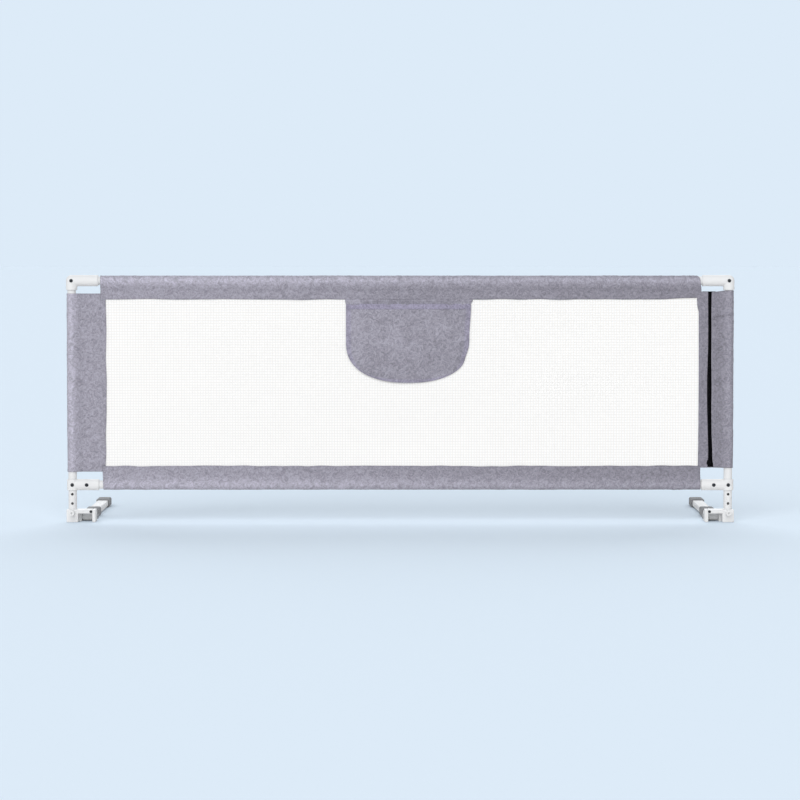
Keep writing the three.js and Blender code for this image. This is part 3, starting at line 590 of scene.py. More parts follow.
def lay_sleeve(name, axis, reach_way, along_way, start, stop, section, seed, bow, folds=None,
               pale=np.ones_like, front_edge_painted_light=lambda along: PAINTED_EDGE_SHADE):
    """Carries a section along a tube. Start and stop give the two ends for each reach and side, bow shifts the
    band's edge, folds adds single creases, in millimetres, that are also darkened as painted shade, pale scales
    how much paler the cloth is where it is stretched over the tube, with its painted highlight at the tube's
    front, and front_edge_painted_light is the painted shade or painted highlight along the band's front edge."""
    reach, side = section[:, :1], section[:, 1:]
    first = start(reach, side) + 0 * reach
    last = stop(reach, side) + 0 * reach
    columns = int((last.max() - first.min()) / ALONG_STEP) + 1
    share = np.linspace(0, 1, columns)[None, :]
    along = first + share * (last - first)
    around = line_lengths(section)[:, None] + 0 * along
    to_end = np.minimum(along - first, last - along)
    lift = section_lift(section)
    extra = folds(along, reach) if folds else 0.0
    from_edge = np.minimum(around, around[-1] - around) - HEM_WIDTH
    relief = sleeve_relief(reach, around, from_edge, along, to_end, seed, extra)
    at_edge = ease(reach, FOLD_START, FOLD_START + 12 * MM)
    moved_reach = reach + lift[:, :1] * relief + at_edge * bow(along, side)
    points = carry(axis, reach_way, along_way, moved_reach, side + lift[:, 1:] * relief, along)
    flip = bool(np.dot(np.cross(-reach_way, along_way), Y_AXIS) < 0)
    made = grid_sheet(name, points, flip)
    cloth_map(made, along, around)
    # painted highlight: the share is paler over the tube, and most at its front
    front = bell(np.arctan2(-side, -reach), 1.55, 0.95)
    on_tube = 1 - ease(reach, 0.9 * tube_line, FOLD_START)
    # painted shade along the band's edges and at the ends; the front edge may get painted light instead
    rim = bell(from_edge, 0, 1.5 * MM) * np.where(side < 0, front_edge_painted_light(along), PAINTED_EDGE_SHADE)
    rim = rim + PAINTED_EDGE_SHADE * bell(to_end, 0, 1.5 * MM)
    # painted shade: the share is darkened along the folds
    share_map(made, "stretch_and_painted_light", pale(along) * on_tube * (0.10 + 0.90 * front) + rim - 0.45 * extra)
    thicken(made, CLOTH_THICKNESS)
    return made, points, grid_normals(points, flip)


# %% [markdown]
# ## Stitches
# Seams are sewn with short stitches that sink into the cloth at both ends. One stitch is a small flattened capsule
# of a few dozen faces, and a row of them follows any line on the cloth.

# %% Stitches
STITCH_PITCH = 3.1 * MM
STITCH_LENGTH = 2.5 * MM
STITCH_HALF_WIDTH = 0.26 * MM
STITCH_HEIGHT = 0.20 * MM
STITCH_SIDES = 5


def bead(sides, stations, widths, depths, tips):
    """A small body along X: at each station a ring of an ellipse with its own two radii, and a tip at each end."""
    angle = np.arange(sides) / sides * TURN
    ring = np.stack([0 * angle, np.cos(angle), np.sin(angle)], 1)
    radii = np.stack([0 * widths, widths, depths], 1)
    rings = ring[None] * radii[:, None] + stations[:, None, None] * X_AXIS
    return np.concatenate([rings.reshape(-1, 3), tips]), *capped(len(stations), sides)


def stitch_shape():
    """One stitch: three rings of a flattened tube, and a sunken point at each end."""
    swell = np.array([0.85, 1.0, 0.85])
    stations = np.array([-0.36, 0.0, 0.36]) * STITCH_LENGTH
    tips = [(way * 0.5 * STITCH_LENGTH, 0, -1.6 * STITCH_HEIGHT) for way in (-1, 1)]
    return bead(STITCH_SIDES, stations, STITCH_HALF_WIDTH * swell, STITCH_HEIGHT * swell, tips)


def row_places(line, normals):
    """Even places along a line on the cloth, with the line's direction and the cloth's normal at each."""
    length = line_lengths(line)
    stations = np.arange(STITCH_PITCH / 2, length[-1], STITCH_PITCH)
    place = read_off(stations, length, line)
    normal = read_off(stations, length, normals)
    along = read_off(stations + 0.2 * MM, length, line) - read_off(stations - 0.2 * MM, length, line)
    along /= np.linalg.norm(along, axis=1)[:, None]
    normal -= (normal * along).sum(1)[:, None] * along
    normal /= np.linalg.norm(normal, axis=1)[:, None]
    return place, along, normal


def repeated(face_sets, count, points):
    """The faces of many equal shapes, whose points follow one another."""
    shift = (np.arange(count) * points)[:, None, None]
    return [(faces[None] + shift).reshape(-1, faces.shape[1]) for faces in face_sets]


def copies(name, shape, places):
    """One mesh with a copy of a shape at each place, turned to its direction and normal."""
    points, *face_sets = shape
    centre, along, normal = (np.concatenate(part) for part in zip(*places))
    across = np.cross(normal, along)
    turn = np.stack([along, across, normal], 1)
    moved = np.einsum("pk,nkc->npc", points, turn) + centre[:, None]
    return fill(name, moved.reshape(-1, 3), *repeated(face_sets, len(centre), len(points)))


def sew(name, rows, lift=CLOTH_THICKNESS / 2):
    """Sews rows of stitches on lines given with their normals, standing just proud of the cloth."""
    places = [row_places(line + normals * (lift + 0.4 * STITCH_HEIGHT), normals) for line, normals in rows]
    return dress(copies(name, stitch_shape(), places), thread)


def seam_rows(points, normals, section):
    """The two seams of a sleeve's band: the grid rows that lie just inside its outermost edges."""
    reach, side = section.T
    rows = []
    for way in (1, -1):
        outside = side * way >= band_line - 0.01 * MM
        wanted = reach[outside].max() - SEAM_INSET
        row = np.flatnonzero(outside)[np.abs(reach[outside] - wanted).argmin()]
        rows.append((points[row], normals[row]))
    return rows


def end_rows(points, normals, section):
    """The seams of the two end hems: the grid columns that lie one end row inside the ends, hems left out."""
    reach, side = section.T
    outer = (np.abs(side) >= band_line - 0.01 * MM) | (reach < FOLD_START)
    inset = int(round(END_ROW / ALONG_STEP))
    return [(points[outer, column], normals[outer, column]) for column in (inset, -1 - inset)]


# %% [markdown]
# ## The four sleeves
# The top and bottom sleeves are the long ones. The side sleeves go over the posts, and stop short of the corners
# so that the plastic fittings stay free. The right one is slit for a zip, which lets the cover come off.

# %% The four sleeves
def constant(value):
    """A straight cut: the same end for every reach and side."""
    return lambda reach, side: value


top_reach = top_rail_z - low_of("top_sleeve")[2]
bottom_reach = high_of("bottom_sleeve")[2] - bottom_rail_z
left_reach = high_of("left_sleeve")[0] + post_x
right_reach = post_x - low_of("right_sleeve")[0]
flap_low, flap_high = corners_of("right_zip_flap")
ZIP_SHIFT = 1.6 * MM
SLIT_REACH = 40.0 * MM
zip_outer_reach = SLIT_REACH - ZIP_SHIFT
zip_inner_reach = post_x - flap_high[0] - ZIP_SHIFT
rail_half = high_of("top_sleeve")[0]
top_seam = top_rail_z - top_reach
bottom_seam = bottom_rail_z + bottom_reach
print(f"bands reach {top_reach:.4f}, {bottom_reach:.4f}, {left_reach:.4f} and {right_reach:.4f}")

CORNER_ROUNDING = 7.0 * MM
SLOPE_RISE = 3.2 * MM
LONGER = 2.5 * MM
CORNER_GIVE = 2.2 * MM
LEFT_SLANT = 3.0 * MM
RIGHT_SLANT = 3.4 * MM
LEFT_NARROWS = 2.6 * MM
NOTCH_ROOM = 0.6 * MM
EDGE_WANDER = 0.5 * MM


def wander(seed):
    """A sewn edge that is not quite straight: soft waves along it, the same on both layers."""
    return lambda along, side: EDGE_WANDER * line_waves(along, 50 * MM, 260 * MM, seed, 10)


def top_right_end(reach, side):
    """The cloth's right end slants outwards a little, and is drawn in at its top as a rounded corner."""
    height = np.clip(-reach / tube_line, 0, 1)
    return rail_half + RIGHT_SLANT * ease(reach, -6 * MM, 26 * MM) - CORNER_ROUNDING * height ** 2.5


def side_end(full, notched, reach_limit):
    """A side sleeve stops short where the long sleeve's band passes: a sharp step in its end, by reach."""
    return lambda reach, side: full + (notched - full) * (reach > reach_limit)


def bottom_left_end(reach, side):
    """The cloth's left end starts a little further in, and slants in more towards the bottom."""
    return -rail_half + CORNER_GIVE + LEFT_SLANT * (1 - ease(reach, -tube_line, bottom_reach))


def top_bow(along, side):
    """The top band's edge wanders a little, and rises towards its right end."""
    return wander(71)(along, side) - 0.7 * MM - 4 * MM * ease(along, 0.54, 0.67)


def left_bow(along, side):
    """The left band is a little narrower towards its lower end."""
    return wander(73)(along, side) - LEFT_NARROWS * (1 - ease(along, 0.12, 0.30))


def swirls(along, reach):
    """Deeper creases near the right end, where the cloth is gathered before the corner."""
    return 0.5 * creases(along, 3 * reach, 16 * MM, 611) * ease(along, 0.50, 0.60)


def top_edge_painted_light(along):
    """The top band's front edge gets painted shade where the net sets it off, and painted light over the pocket,
    which lifts the shade there.
    """
    (low, *_), (high, *_) = corners_of("pocket")
    over = ease(along, low, low + 6 * MM) * (1 - ease(along, high - 6 * MM, high))
    return 0.9 * over + PAINTED_EDGE_SHADE


section_top = strip_section(top_reach, top_reach)
section_bottom = strip_section(bottom_reach, bottom_reach)
step_reach = post_x - rail_half
lower_step_reach = step_reach + LEFT_NARROWS + CORNER_GIVE + NOTCH_ROOM
section_left = with_step(with_step(strip_section(left_reach, left_reach), step_reach), lower_step_reach)
section_right = with_step(strip_section(right_reach, zip_outer_reach), step_reach)

top_axis = np.array([0, panel_y, top_rail_z])
bottom_axis = np.array([0, panel_y, bottom_rail_z])
left_axis = np.array([-post_x, panel_y, 0])
right_axis = np.array([post_x, panel_y, 0])

# the painted highlight on the top tube grows towards the right end
top_sleeve = lay_sleeve(
    "top_sleeve_cloth", top_axis, -Z_AXIS, X_AXIS, constant(-rail_half), top_right_end, section_top, 11,
    top_bow, swirls, lambda along: 1.35 + 0.5 * ease(along, 0.3, 0.6), top_edge_painted_light)
bottom_sleeve = lay_sleeve(
    "bottom_sleeve_cloth", bottom_axis, Z_AXIS, X_AXIS, bottom_left_end, constant(rail_half + LONGER),
    section_bottom, 21, wander(72))
# the left sleeve's painted highlight on its tube is a little stronger than the plain one
left_sleeve = lay_sleeve(
    "left_sleeve_cloth", left_axis, X_AXIS, Z_AXIS,
    side_end(low_of("left_sleeve")[2], bottom_seam, lower_step_reach),
    side_end(high_of("left_sleeve")[2], top_seam, step_reach), section_left, 31, left_bow,
    pale=lambda along: 1.2 + 0 * along)


def right_top(reach, side):
    """The right sleeve's top edge rises a little from the band to the post."""
    plain = side_end(high_of("right_sleeve")[2], top_seam, step_reach)(reach, side)
    return plain - SLOPE_RISE * ease(reach, 0, zip_outer_reach) * (reach < step_reach)


SLIT_HEIGHTS = np.array([131, 137, 165, 200, 250, 285, 335, 390]) * MM
OUTER_SHIFTS = np.array([-5.4, -3.6, -3.0, -1.1, -1.6, -1.6, -0.4, 0.0]) * MM
INNER_SHIFTS = np.array([-1.6, -2.4, -2.6, -0.2, 1.0, 1.0, 0.4, -0.9]) * MM
POST_CREASES = ((0.4672, 1.9), (0.449, 0.5), (0.407, 0.35), (0.234, 0.4), (0.182, 0.3))


def slit_edge(along, seed, shifts):
    """How far an edge of the zip's slit wanders inwards: its shift at a few heights, and soft waves."""
    waves = line_waves(along, 90 * MM, 300 * MM, seed, 8)
    return np.interp(along, SLIT_HEIGHTS, shifts) + 0.45 * MM * waves


def right_bow(along, side):
    """The net's right edge bows: the band is widest at the very top and narrowest in the middle."""
    height = (along - bottom_seam) / (top_seam - bottom_seam)
    bowed = 3.4 * MM * ease(height, 0.92, 0.97) - 1.2 * MM * np.sin(np.pi * np.clip(height, 0, 1)) ** 0.5
    return np.where(side > 0, bowed, slit_edge(along, 75, OUTER_SHIFTS))


def post_folds(along, reach):
    """The few level creases that the right sleeve shows on its post: a bell at each height, of some depth."""
    total = 0.0
    for height, depth in POST_CREASES:
        total = total + depth * bell(along - height + 0.15 * reach, 0, 2.8 * MM)
    return total * (1 - ease(reach, 34 * MM, 38 * MM)) * ease(reach, -16 * MM, 6 * MM)


# painted highlight along the right sleeve's front edge beside the zip
right_sleeve = lay_sleeve(
    "right_sleeve_cloth", right_axis, -X_AXIS, Z_AXIS,
    side_end(low_of("right_sleeve")[2], bottom_seam, step_reach), right_top, section_right, 41, right_bow,
    post_folds, front_edge_painted_light=lambda along: 0.8 + 0 * along)

SIDE_LENGTH = 0.390
sleeves = [
    ("top_sleeve", top_sleeve, section_top, 2 * rail_half, "left_top_rail"),
    ("bottom_sleeve", bottom_sleeve, section_bottom, 2 * rail_half, "left_bottom_rail"),
    ("left_sleeve", left_sleeve, section_left, SIDE_LENGTH, "left_post"),
    ("right_sleeve", right_sleeve, section_right, SIDE_LENGTH, "right_post"),
]
for node, (piece, points, normals), section, length, tube in sleeves:
    dress(piece, cloth, stands_for=[node])
    rows = seam_rows(points, normals, section) + end_rows(points, normals, section)
    stitching = sew(node + "_stitching", rows)

# %% [markdown]
# ## The zip flap
# Between the zip and the net the front of the right sleeve is a narrow strip of its own. It is hemmed along both
# edges, so its section is two turned hems with a little cloth between them. It is a piece of its own, because the
# zip shows between it and the rest of the sleeve.

# %% The zip flap
ZIP_SEAM_INSET = 4.6 * MM
flap_seams = (zip_inner_reach + ZIP_SEAM_INSET, right_reach - SEAM_INSET)


def flap_section():
    """Two turned hems facing away from each other, on the front side of the panel."""
    near = edge_turn(right_reach, -1)
    far = edge_turn(zip_inner_reach, -1)
    far = np.stack([2 * zip_inner_reach - far[:, 0], far[:, 1]], 1)
    return np.concatenate([near, np.linspace(near[-1], far[-1], 22)[1:-1], far[::-1]])


def lay_flap(name, section, low, high, seed):
    """The section carried up beside the zip, with slow waves and a dip along each seam."""
    reach, side = section[:, :1], section[:, 1:]
    columns = int((high - low) / ALONG_STEP) + 1
    along = low + np.linspace(0, 1, columns)[None, :] * (high - low) + 0 * reach
    around = line_lengths(section)[:, None] + 0 * along
    from_seam = np.minimum(np.abs(reach - flap_seams[0]), np.abs(reach - flap_seams[1]))
    relief = 0.12 * soft_waves(along, around, 20 * MM, 120 * MM, seed)
    relief = (relief - 0.20 * bell(from_seam, 0, DIP_WIDTH)) * MM
    by_net = ease(reach, zip_inner_reach + 4 * MM, right_reach - 2 * MM)
    at_zip = slit_edge(along, 76, INNER_SHIFTS)
    moved = reach + by_net * right_bow(along, 1 + 0 * side) + (1 - by_net) * at_zip
    points = carry(right_axis, -X_AXIS, Z_AXIS, moved, side - relief, along)
    made = grid_sheet(name, points)
    cloth_map(made, along, around)
    thicken(made, CLOTH_THICKNESS)
    return made, points


flap_line = flap_section()
flap_top = flap_high[2] - SLOPE_RISE * 0.8
flap_cloth, flap_points = lay_flap("right_zip_flap_cloth", flap_line, flap_low[2], flap_top, 51)
dress(flap_cloth, cloth, stands_for=["right_zip_flap"])


def to_front(row):
    """The same normal for each point of a row, towards the front."""
    return np.broadcast_to(-Y_AXIS, row.shape)


def flat_rows(points, section, reaches):
    """Seams on the front of a band, at the grid rows nearest to the given reaches, facing the front."""
    front = section[:, 1] <= -band_line + 0.01 * MM
    rows = []
    for wanted in reaches:
        row = np.flatnonzero(front)[np.abs(section[front, 0] - wanted).argmin()]
        rows.append((points[row], to_front(points[row])))
    return rows


sew("right_zip_flap_stitching", flat_rows(flap_points, flap_line, flap_seams))

# %% [markdown]
# ## The net
# The middle of the cover is a white warp-knitted net. It is one surface of small square cells, each with an
# octagonal hole: four straight sides and four corners join the hole to the square. The cells share their corners,
# and the rim of each hole lies a little deeper, which gives the net its grid of shallow grooves. The grooves are
# tinted a warm grey as painted shade.

# %% The net
NET_PITCH = 6.05 * MM
NET_HOLE = 1.15 * MM
NET_RIM_DEPTH = 0.25 * MM
NET_SHADE = (0.965, 0.964, 0.962)
PAINTED_GROOVE_SHADE = (0.855, 0.845, 0.825)
NET_TUCKED = 5.0 * MM
net_low, net_high = low_of("mesh_panel") + NET_TUCKED * X_AXIS, high_of("mesh_panel") - NET_TUCKED * X_AXIS


def net_surface(low, high):
    """Square cells between two corners, each with four quads and four triangles round an octagon."""
    cells = np.round((high - low)[[0, 2]] / NET_PITCH).astype(int)
    pitch = (high - low)[[0, 2]] / cells
    lines_x = low[0] + np.arange(cells[0] + 1) * pitch[0]
    lines_z = low[2] + np.arange(cells[1] + 1) * pitch[1]
    grid_x, grid_z = np.meshgrid(lines_x, lines_z, indexing="ij")
    corner = np.stack([grid_x, 0 * grid_x, grid_z], -1).reshape(-1, 3)
    centre_x, centre_z = np.meshgrid(lines_x[:-1] + pitch[0] / 2, lines_z[:-1] + pitch[1] / 2, indexing="ij")
    angle = (np.arange(8) + 0.5) * TURN / 8
    rim = np.stack([np.cos(angle), 0 * angle, np.sin(angle)], 1) * NET_HOLE / 2
    rim[:, 1] = NET_RIM_DEPTH
    hole = np.stack([centre_x, 0 * centre_x, centre_z], -1)[:, :, None, :] + rim
    i, j = np.meshgrid(np.arange(cells[0]), np.arange(cells[1]), indexing="ij")
    square = [(a * (cells[1] + 1) + b).ravel() for a, b in ((i + 1, j), (i + 1, j + 1), (i, j + 1), (i, j))]
    first = len(corner) + (i * cells[1] + j).ravel() * 8
    quads = []
    triangles = []
    for side in range(4):
        after = square[(side + 1) % 4]
        before, here, beyond = (first + k % 8 for k in (2 * side + 7, 2 * side, 2 * side + 1))
        quads.append(np.stack([square[side], after, here, before], 1))
        triangles.append(np.stack([after, beyond, here], 1))
    points = np.concatenate([corner, hole.reshape(-1, 3)])
    print(f"net of {cells[0]} by {cells[1]} cells, pitch {pitch[0] * 1000:.2f} by {pitch[1] * 1000:.2f} mm")
    return points, np.concatenate(quads), np.concatenate(triangles)


net_points, net_quads, net_triangles = net_surface(net_low, net_high)
net_inside = np.minimum.reduce([
    net_points[:, 0] - net_low[0], net_high[0] - net_points[:, 0],
    net_points[:, 2] - net_low[2], net_high[2] - net_points[:, 2]])
net_sag = 0.6 * MM * np.maximum(1 + soft_waves(net_points[:, 0], net_points[:, 2], 150 * MM, 600 * MM, 61), 0)
net_points[:, 1] += panel_y - 0.1 * MM + net_sag * ease(net_inside, 10 * MM, 60 * MM)
net = fill("net", net_points, net_quads, net_triangles)

net_finish, net_tree, net_shader = finish("white_net", NET_SHADE, 0.75, Sheen_Weight=0.1)
net_place = add(net_tree, "Mapping", {
    "Vector": add(net_tree, "TexCoord").outputs["Object"],
    "Location": (-net_low[0] / NET_PITCH, 0, -net_low[2] / NET_PITCH),
    "Scale": (1 / NET_PITCH, 1, 1 / NET_PITCH)})
net_parts = add(net_tree, "SeparateXYZ", {"Vector": net_place.outputs[0]})


def groove(axis):
    """1 along the middle of each cell and 0 at its edges, in one direction: a narrow band of a cosine."""
    wave = calc(net_tree, "COSINE", calc(net_tree, "MULTIPLY", net_parts.outputs[axis], TURN))
    return calc(net_tree, "SMOOTH_MAX", calc(net_tree, "MULTIPLY_ADD", wave, -1.6, -0.6), 0.0, 0.1)


net_grooves = calc(net_tree, "MAXIMUM", groove("X"), groove("Z"))
net_knit = add(net_tree, "TexWave", {"Vector": net_place.outputs[0], "Scale": 2.0, "Distortion": 0.6},
               bands_direction="X")
# painted shade: the grooves through the holes are tinted darker than the net
tint(net_tree, net_shader, net_grooves, NET_SHADE, PAINTED_GROOVE_SHADE)
bump(net_tree, net_shader, calc(net_tree, "MULTIPLY_ADD", net_grooves, -1.0, net_knit.outputs["Fac"]), 0.12 * MM)
dress(net, net_finish, stands_for=["mesh_panel"])

# %% [markdown]
# ## The pocket
# A patch pocket hangs from the top band. Its outline has straight sides and a bottom that follows a superellipse,
# and it is filled between four curved sides, as a Coons patch: the mean of the two straight blends between
# opposite sides, less the blend of the corners. It stands off the net most at its mouth, and the cloth is turned
# under all round, which shows as a slightly lilac edge.

# %% The pocket
POCKET_POWER = 2.3
POCKET_CURVE = 90.0 * MM
POCKET_COLUMNS = 110
POCKET_ROWS = 79
SIDE_TURN = np.radians(50)
MOUTH_DROP = 10.5 * MM
pocket_low, pocket_high = corners_of("pocket")
pocket_x = middle_of("pocket")[0]
pocket_half = (pocket_high[0] - pocket_low[0]) / 2
pocket_front, pocket_back = pocket_low[1], pocket_high[1]


def pocket_outline(turn):
    """The bottom of the pocket, as an angle from its left side over its lowest point to its right side."""
    power = 2 / POCKET_POWER
    across = np.sign(np.cos(turn)) * np.abs(np.cos(turn)) ** power
    return np.stack([pocket_x - pocket_half * across,
                     pocket_low[2] + POCKET_CURVE * (1 - np.abs(np.sin(turn)) ** power)], -1)


def even(line, count):
    """The same line with its points at even distances."""
    length = line_lengths(line)
    return read_off(np.linspace(0, length[-1], count), length, line)


def pocket_side(sign, mouth, count):
    """From the mouth's corner down the straight side and half way round the curve."""
    turn = np.linspace(0, SIDE_TURN, 60)
    curve = pocket_outline(turn if sign < 0 else np.pi - turn)
    start = np.array([[pocket_x + sign * pocket_half, mouth]])
    return even(np.concatenate([start, curve]), count)


def coons(top, bottom, left, right):
    """Fills four sides: blend left to right, plus blend top to bottom, less the blend of the four corners."""
    s = np.linspace(0, 1, len(top))[None, :, None]
    t = np.linspace(0, 1, len(left))[:, None, None]
    sides = (1 - s) * left[:, None] + s * right[:, None]
    ends = (1 - t) * top[None] + t * bottom[None]
    corners = (1 - t) * ((1 - s) * top[0] + s * top[-1]) + t * ((1 - s) * bottom[0] + s * bottom[-1])
    return sides + ends - corners


mouth_z = pocket_high[2] - MOUTH_DROP
bottom_turn = np.linspace(SIDE_TURN, np.pi - SIDE_TURN, 200)
mouth_ends = np.array([(pocket_x - pocket_half, mouth_z), (pocket_x + pocket_half, mouth_z)])
patch = coons(even(mouth_ends, POCKET_COLUMNS), even(pocket_outline(bottom_turn), POCKET_COLUMNS),
              pocket_side(-1, mouth_z, POCKET_ROWS), pocket_side(1, mouth_z, POCKET_ROWS))
row_share = np.linspace(0, 1, POCKET_ROWS)[:, None]
column_share = np.linspace(-1, 1, POCKET_COLUMNS)[None, :]
patch_x, patch_z = patch[..., 0], patch[..., 1]
above = patch_z - pocket_low[2]
# the right side runs out a little at the mouth, in below it, and in most just above the round corner
pull = 1.4 - 4.0 * ease(mouth_z - patch_z, 0, 75 * MM) - 3.0 * bell(above, 62 * MM, 18 * MM)
patch_x += pull * MM * ease(above, 26 * MM, 60 * MM) * ease(column_share, 0, 1)
from_edge = np.minimum(1 - np.abs(column_share), 1.15 * (1 - row_share)) * pocket_half * 0.9
belly = ease(from_edge, 5 * MM, 62 * MM)
fullness = 0.62 + 0.38 * (1 - row_share) ** 1.5
upright_waves = soft_waves(patch_x, 0.25 * patch_z, 14 * MM, 60 * MM, 83)
fine_folds = creases(patch_x, patch_z, 14 * MM, 85)
slow = soft_waves(patch_x, patch_z, 60 * MM, 180 * MM, 84)
near_mouth = bell(mouth_z - patch_z, 0, 40 * MM)
relief = 0.5 * slow + 0.42 * upright_waves * (0.4 + near_mouth) + 0.40 * fine_folds
relief = relief * ease(from_edge, 4 * MM, 20 * MM)
seam_dip = bell(from_edge, 4 * MM, 2 * MM)
stand_off = (pocket_back - pocket_front - 1.4 * MM) * belly * fullness
stand_off = stand_off + 0.6 * MM - relief * MM - 0.2 * MM * seam_dip
patch_y = pocket_back - CLOTH_THICKNESS - stand_off
patch_points = np.stack([patch_x, np.maximum(patch_y, pocket_front + CLOTH_THICKNESS / 2), patch_z], -1)
pocket = grid_sheet("pocket_cloth", patch_points)
cloth_map(pocket, patch_x, patch_z)
cloudy = soft_waves(patch_x, patch_z, 25 * MM, 120 * MM, 86)
# painted shade: the share is darker in the creases; it is also paler in the upper part and varies in soft clouds
share_map(pocket, "stretch_and_painted_light", 0.25 - 0.25 * ease(row_share, 0.4, 0.9) + 0.13 * cloudy - 0.12 * fine_folds)
share_map(pocket, "turned", 1 - ease(from_edge, 8 * MM, 11 * MM))
thicken(pocket, CLOTH_THICKNESS)
dress(pocket, cloth, stands_for=["pocket"])
pocket_normals = grid_normals(patch_points, False)


def border(grid, inset):
    """What a grid holds down one side of the pocket, along its bottom and up the other side."""
    return np.concatenate([grid[:-inset, inset], grid[-1 - inset, inset:-inset], grid[:-inset, -1 - inset][::-1]])


pocket_stitching = sew("pocket_stitching", [(border(patch_points, 2), border(pocket_normals, 2))])

# %% [markdown]
# ## The hem of the pocket's mouth
# The mouth is finished with a folded band, a little more lilac than the pocket. Its section is a narrow loop that
# goes over the pocket's edge, and it is carried along the mouth, which bows away from the net.

# %% The hem of the mouth
hem_front = low_of("pocket_hem")[1]
HEM_CLOTH = 0.55 * MM
HEM_HEIGHT = 10.5 * MM
HEM_HALF = 0.85 * MM


def mouth_hem():
    """A loop of cloth in side view: down the back, over the top in a half circle and down the front."""
    angle = np.linspace(0, np.pi, 9)
    top = np.stack([HEM_HALF * np.cos(angle), HEM_HALF * np.sin(angle)], 1)
    down = np.linspace(0, 1, 8)[1:, None] * (0, -HEM_HEIGHT)
    loop = np.concatenate([(top[0] + down)[::-1], top, top[-1] + down])
    line = patch_points[0, 1:-1]
    normal = pocket_normals[2, 1:-1] * (1, 1, 0)
    normal /= np.linalg.norm(normal, axis=1)[:, None]
    along = line_lengths(line)
    pucker = line_waves(along, 6 * MM, 22 * MM, 91)
    slow = line_waves(along, 40 * MM, 150 * MM, 92)
    depth = np.clip(-loop[:, 1] / HEM_HEIGHT, 0, 1)[:, None]
    seam = bell(loop[:, 1:] + HEM_HEIGHT, 2.5 * MM, DIP_WIDTH)
    ruffle = (0.10 * pucker * (0.5 + seam) + 0.12 * slow) * MM * np.sin(np.pi * depth)
    off = -loop[:, :1] + np.where(loop[:, :1] < 0, ruffle - 0.15 * MM * seam, 0)
    # the pocket leans out from its seams to its mouth, and the band leans with it
    fall = patch_points[0, 1:-1] - patch_points[8, 1:-1]
    lean = fall[:, 1] / fall[:, 2]
    points = line[None] + off[..., None] * normal[None]
    sag = bell(line_waves(along, 30 * MM, 90 * MM, 93, 10), 1.2, 0.5)
    points[..., 2] += loop[:, 1:] - 2.4 * MM * sag * (1 - depth) ** 2
    points[..., 1] += lean * loop[:, 1:]
    points[..., 1] = np.maximum(points[..., 1], hem_front + HEM_CLOTH / 2)
    return points, loop, along


hem_points, hem_loop, hem_along = mouth_hem()
hem = grid_sheet("pocket_hem_cloth", hem_points)
cloth_map(hem, hem_along, line_lengths(hem_loop)[:, None])
share_map(hem, "stretch_and_painted_light", np.full(hem_points.shape[:2], 0.05))
thicken(hem, HEM_CLOTH)
dress(hem, hem_cloth, stands_for=["pocket_hem"])
hem_rows = [(hem_points[row], to_front(hem_points[row])) for row in (-3, -7)]
hem_stitching = sew("pocket_hem_stitching", hem_rows, lift=HEM_CLOTH / 2)

# %% [markdown]
# ## The facing
# Behind the mouth a facing of the same cloth is sewn to the net. It shows as a narrow strip between the top band
# and the mouth, spreads a little towards the top, and its upper edge is tucked in between the band's two layers.

# %% The facing
FACING_HEIGHT = 44.0 * MM
FACING_CLOTH = 0.4 * MM
FACING_GRID = (120, 40)
facing_top = pocket_high[2] + 3.5 * MM
facing_z = np.linspace(facing_top - FACING_HEIGHT, facing_top, FACING_GRID[1])[None, :]
spread = ease(facing_z, mouth_z - 6 * MM, pocket_high[2])
facing_left = pocket_x - pocket_half + 0.6 * MM - 2.8 * MM * spread
facing_right = pocket_x + pocket_half - 1.6 * MM + 7.0 * MM * spread
facing_x = facing_left + np.linspace(0, 1, FACING_GRID[0])[:, None] * (facing_right - facing_left)
facing_relief = soft_waves(facing_x, 0.3 * facing_z, 14 * MM, 60 * MM, 97)
tucked = ease(facing_z, pocket_high[2] - 2.0 * MM, pocket_high[2] + 1.0 * MM)
facing_y = (pocket_back - 0.75 * MM + 0.12 * MM * facing_relief) * (1 - tucked) + (panel_y - 0.35 * MM) * tucked
facing_points = np.stack(np.broadcast_arrays(facing_x, facing_y, facing_z), -1)
facing = grid_sheet("pocket_facing_cloth", facing_points, flip=True)
cloth_map(facing, facing_points[..., 0], facing_points[..., 2])
at_left = 1 - ease(facing_x, facing_left + 40 * MM, facing_left + 90 * MM)
by_mouth = bell(facing_z - mouth_z, 2 * MM, 2.5 * MM)
by_band = bell(facing_z - top_seam, -0.3 * MM, 1.0 * MM)
# painted light: lifted right above the mouth and along the band, where they cast shade; painted shade darkens the
# top towards the middle and right, and the left part is lighter
paler = 0.15 + spread * (0.4 * at_left - 0.25) + (0.65 - 0.3 * at_left) * by_mouth + 0.7 * by_band
share_map(facing, "stretch_and_painted_light", paler)
thicken(facing, FACING_CLOTH)
dress(facing, cloth)

# %% [markdown]
# ## The zip
# A nylon coil zip: two woven tapes, and on their edges two rows of teeth that mesh in the middle. A tooth is one
# bean-shaped loop, repeated by the hundred, so it has only a few dozen faces. The finishes are a matt woven black
# for the tapes and a satin black for the teeth.

# %% The zip's finishes
tape_finish, tree, shader = finish("zip_tape", (0.003, 0.003, 0.004), 0.9, Specular_IOR_Level=0.01)
tape_place = add(tree, "TexCoord").outputs["Object"]
tape_swap = add(tree, "SeparateXYZ", {"Vector": tape_place})
tape_flat = add(tree, "CombineXYZ", {"X": tape_swap.outputs["X"], "Y": tape_swap.outputs["Z"]})
tape_height = weave(tree, tape_flat.outputs[0], 0.45 * MM)[0]
# painted shade: the low threads of the weave are tinted darker than the high ones
tint(tree, shader, tape_height, (0.002, 0.002, 0.003), (0.005, 0.005, 0.006))
bump(tree, shader, tape_height, 0.15 * MM)

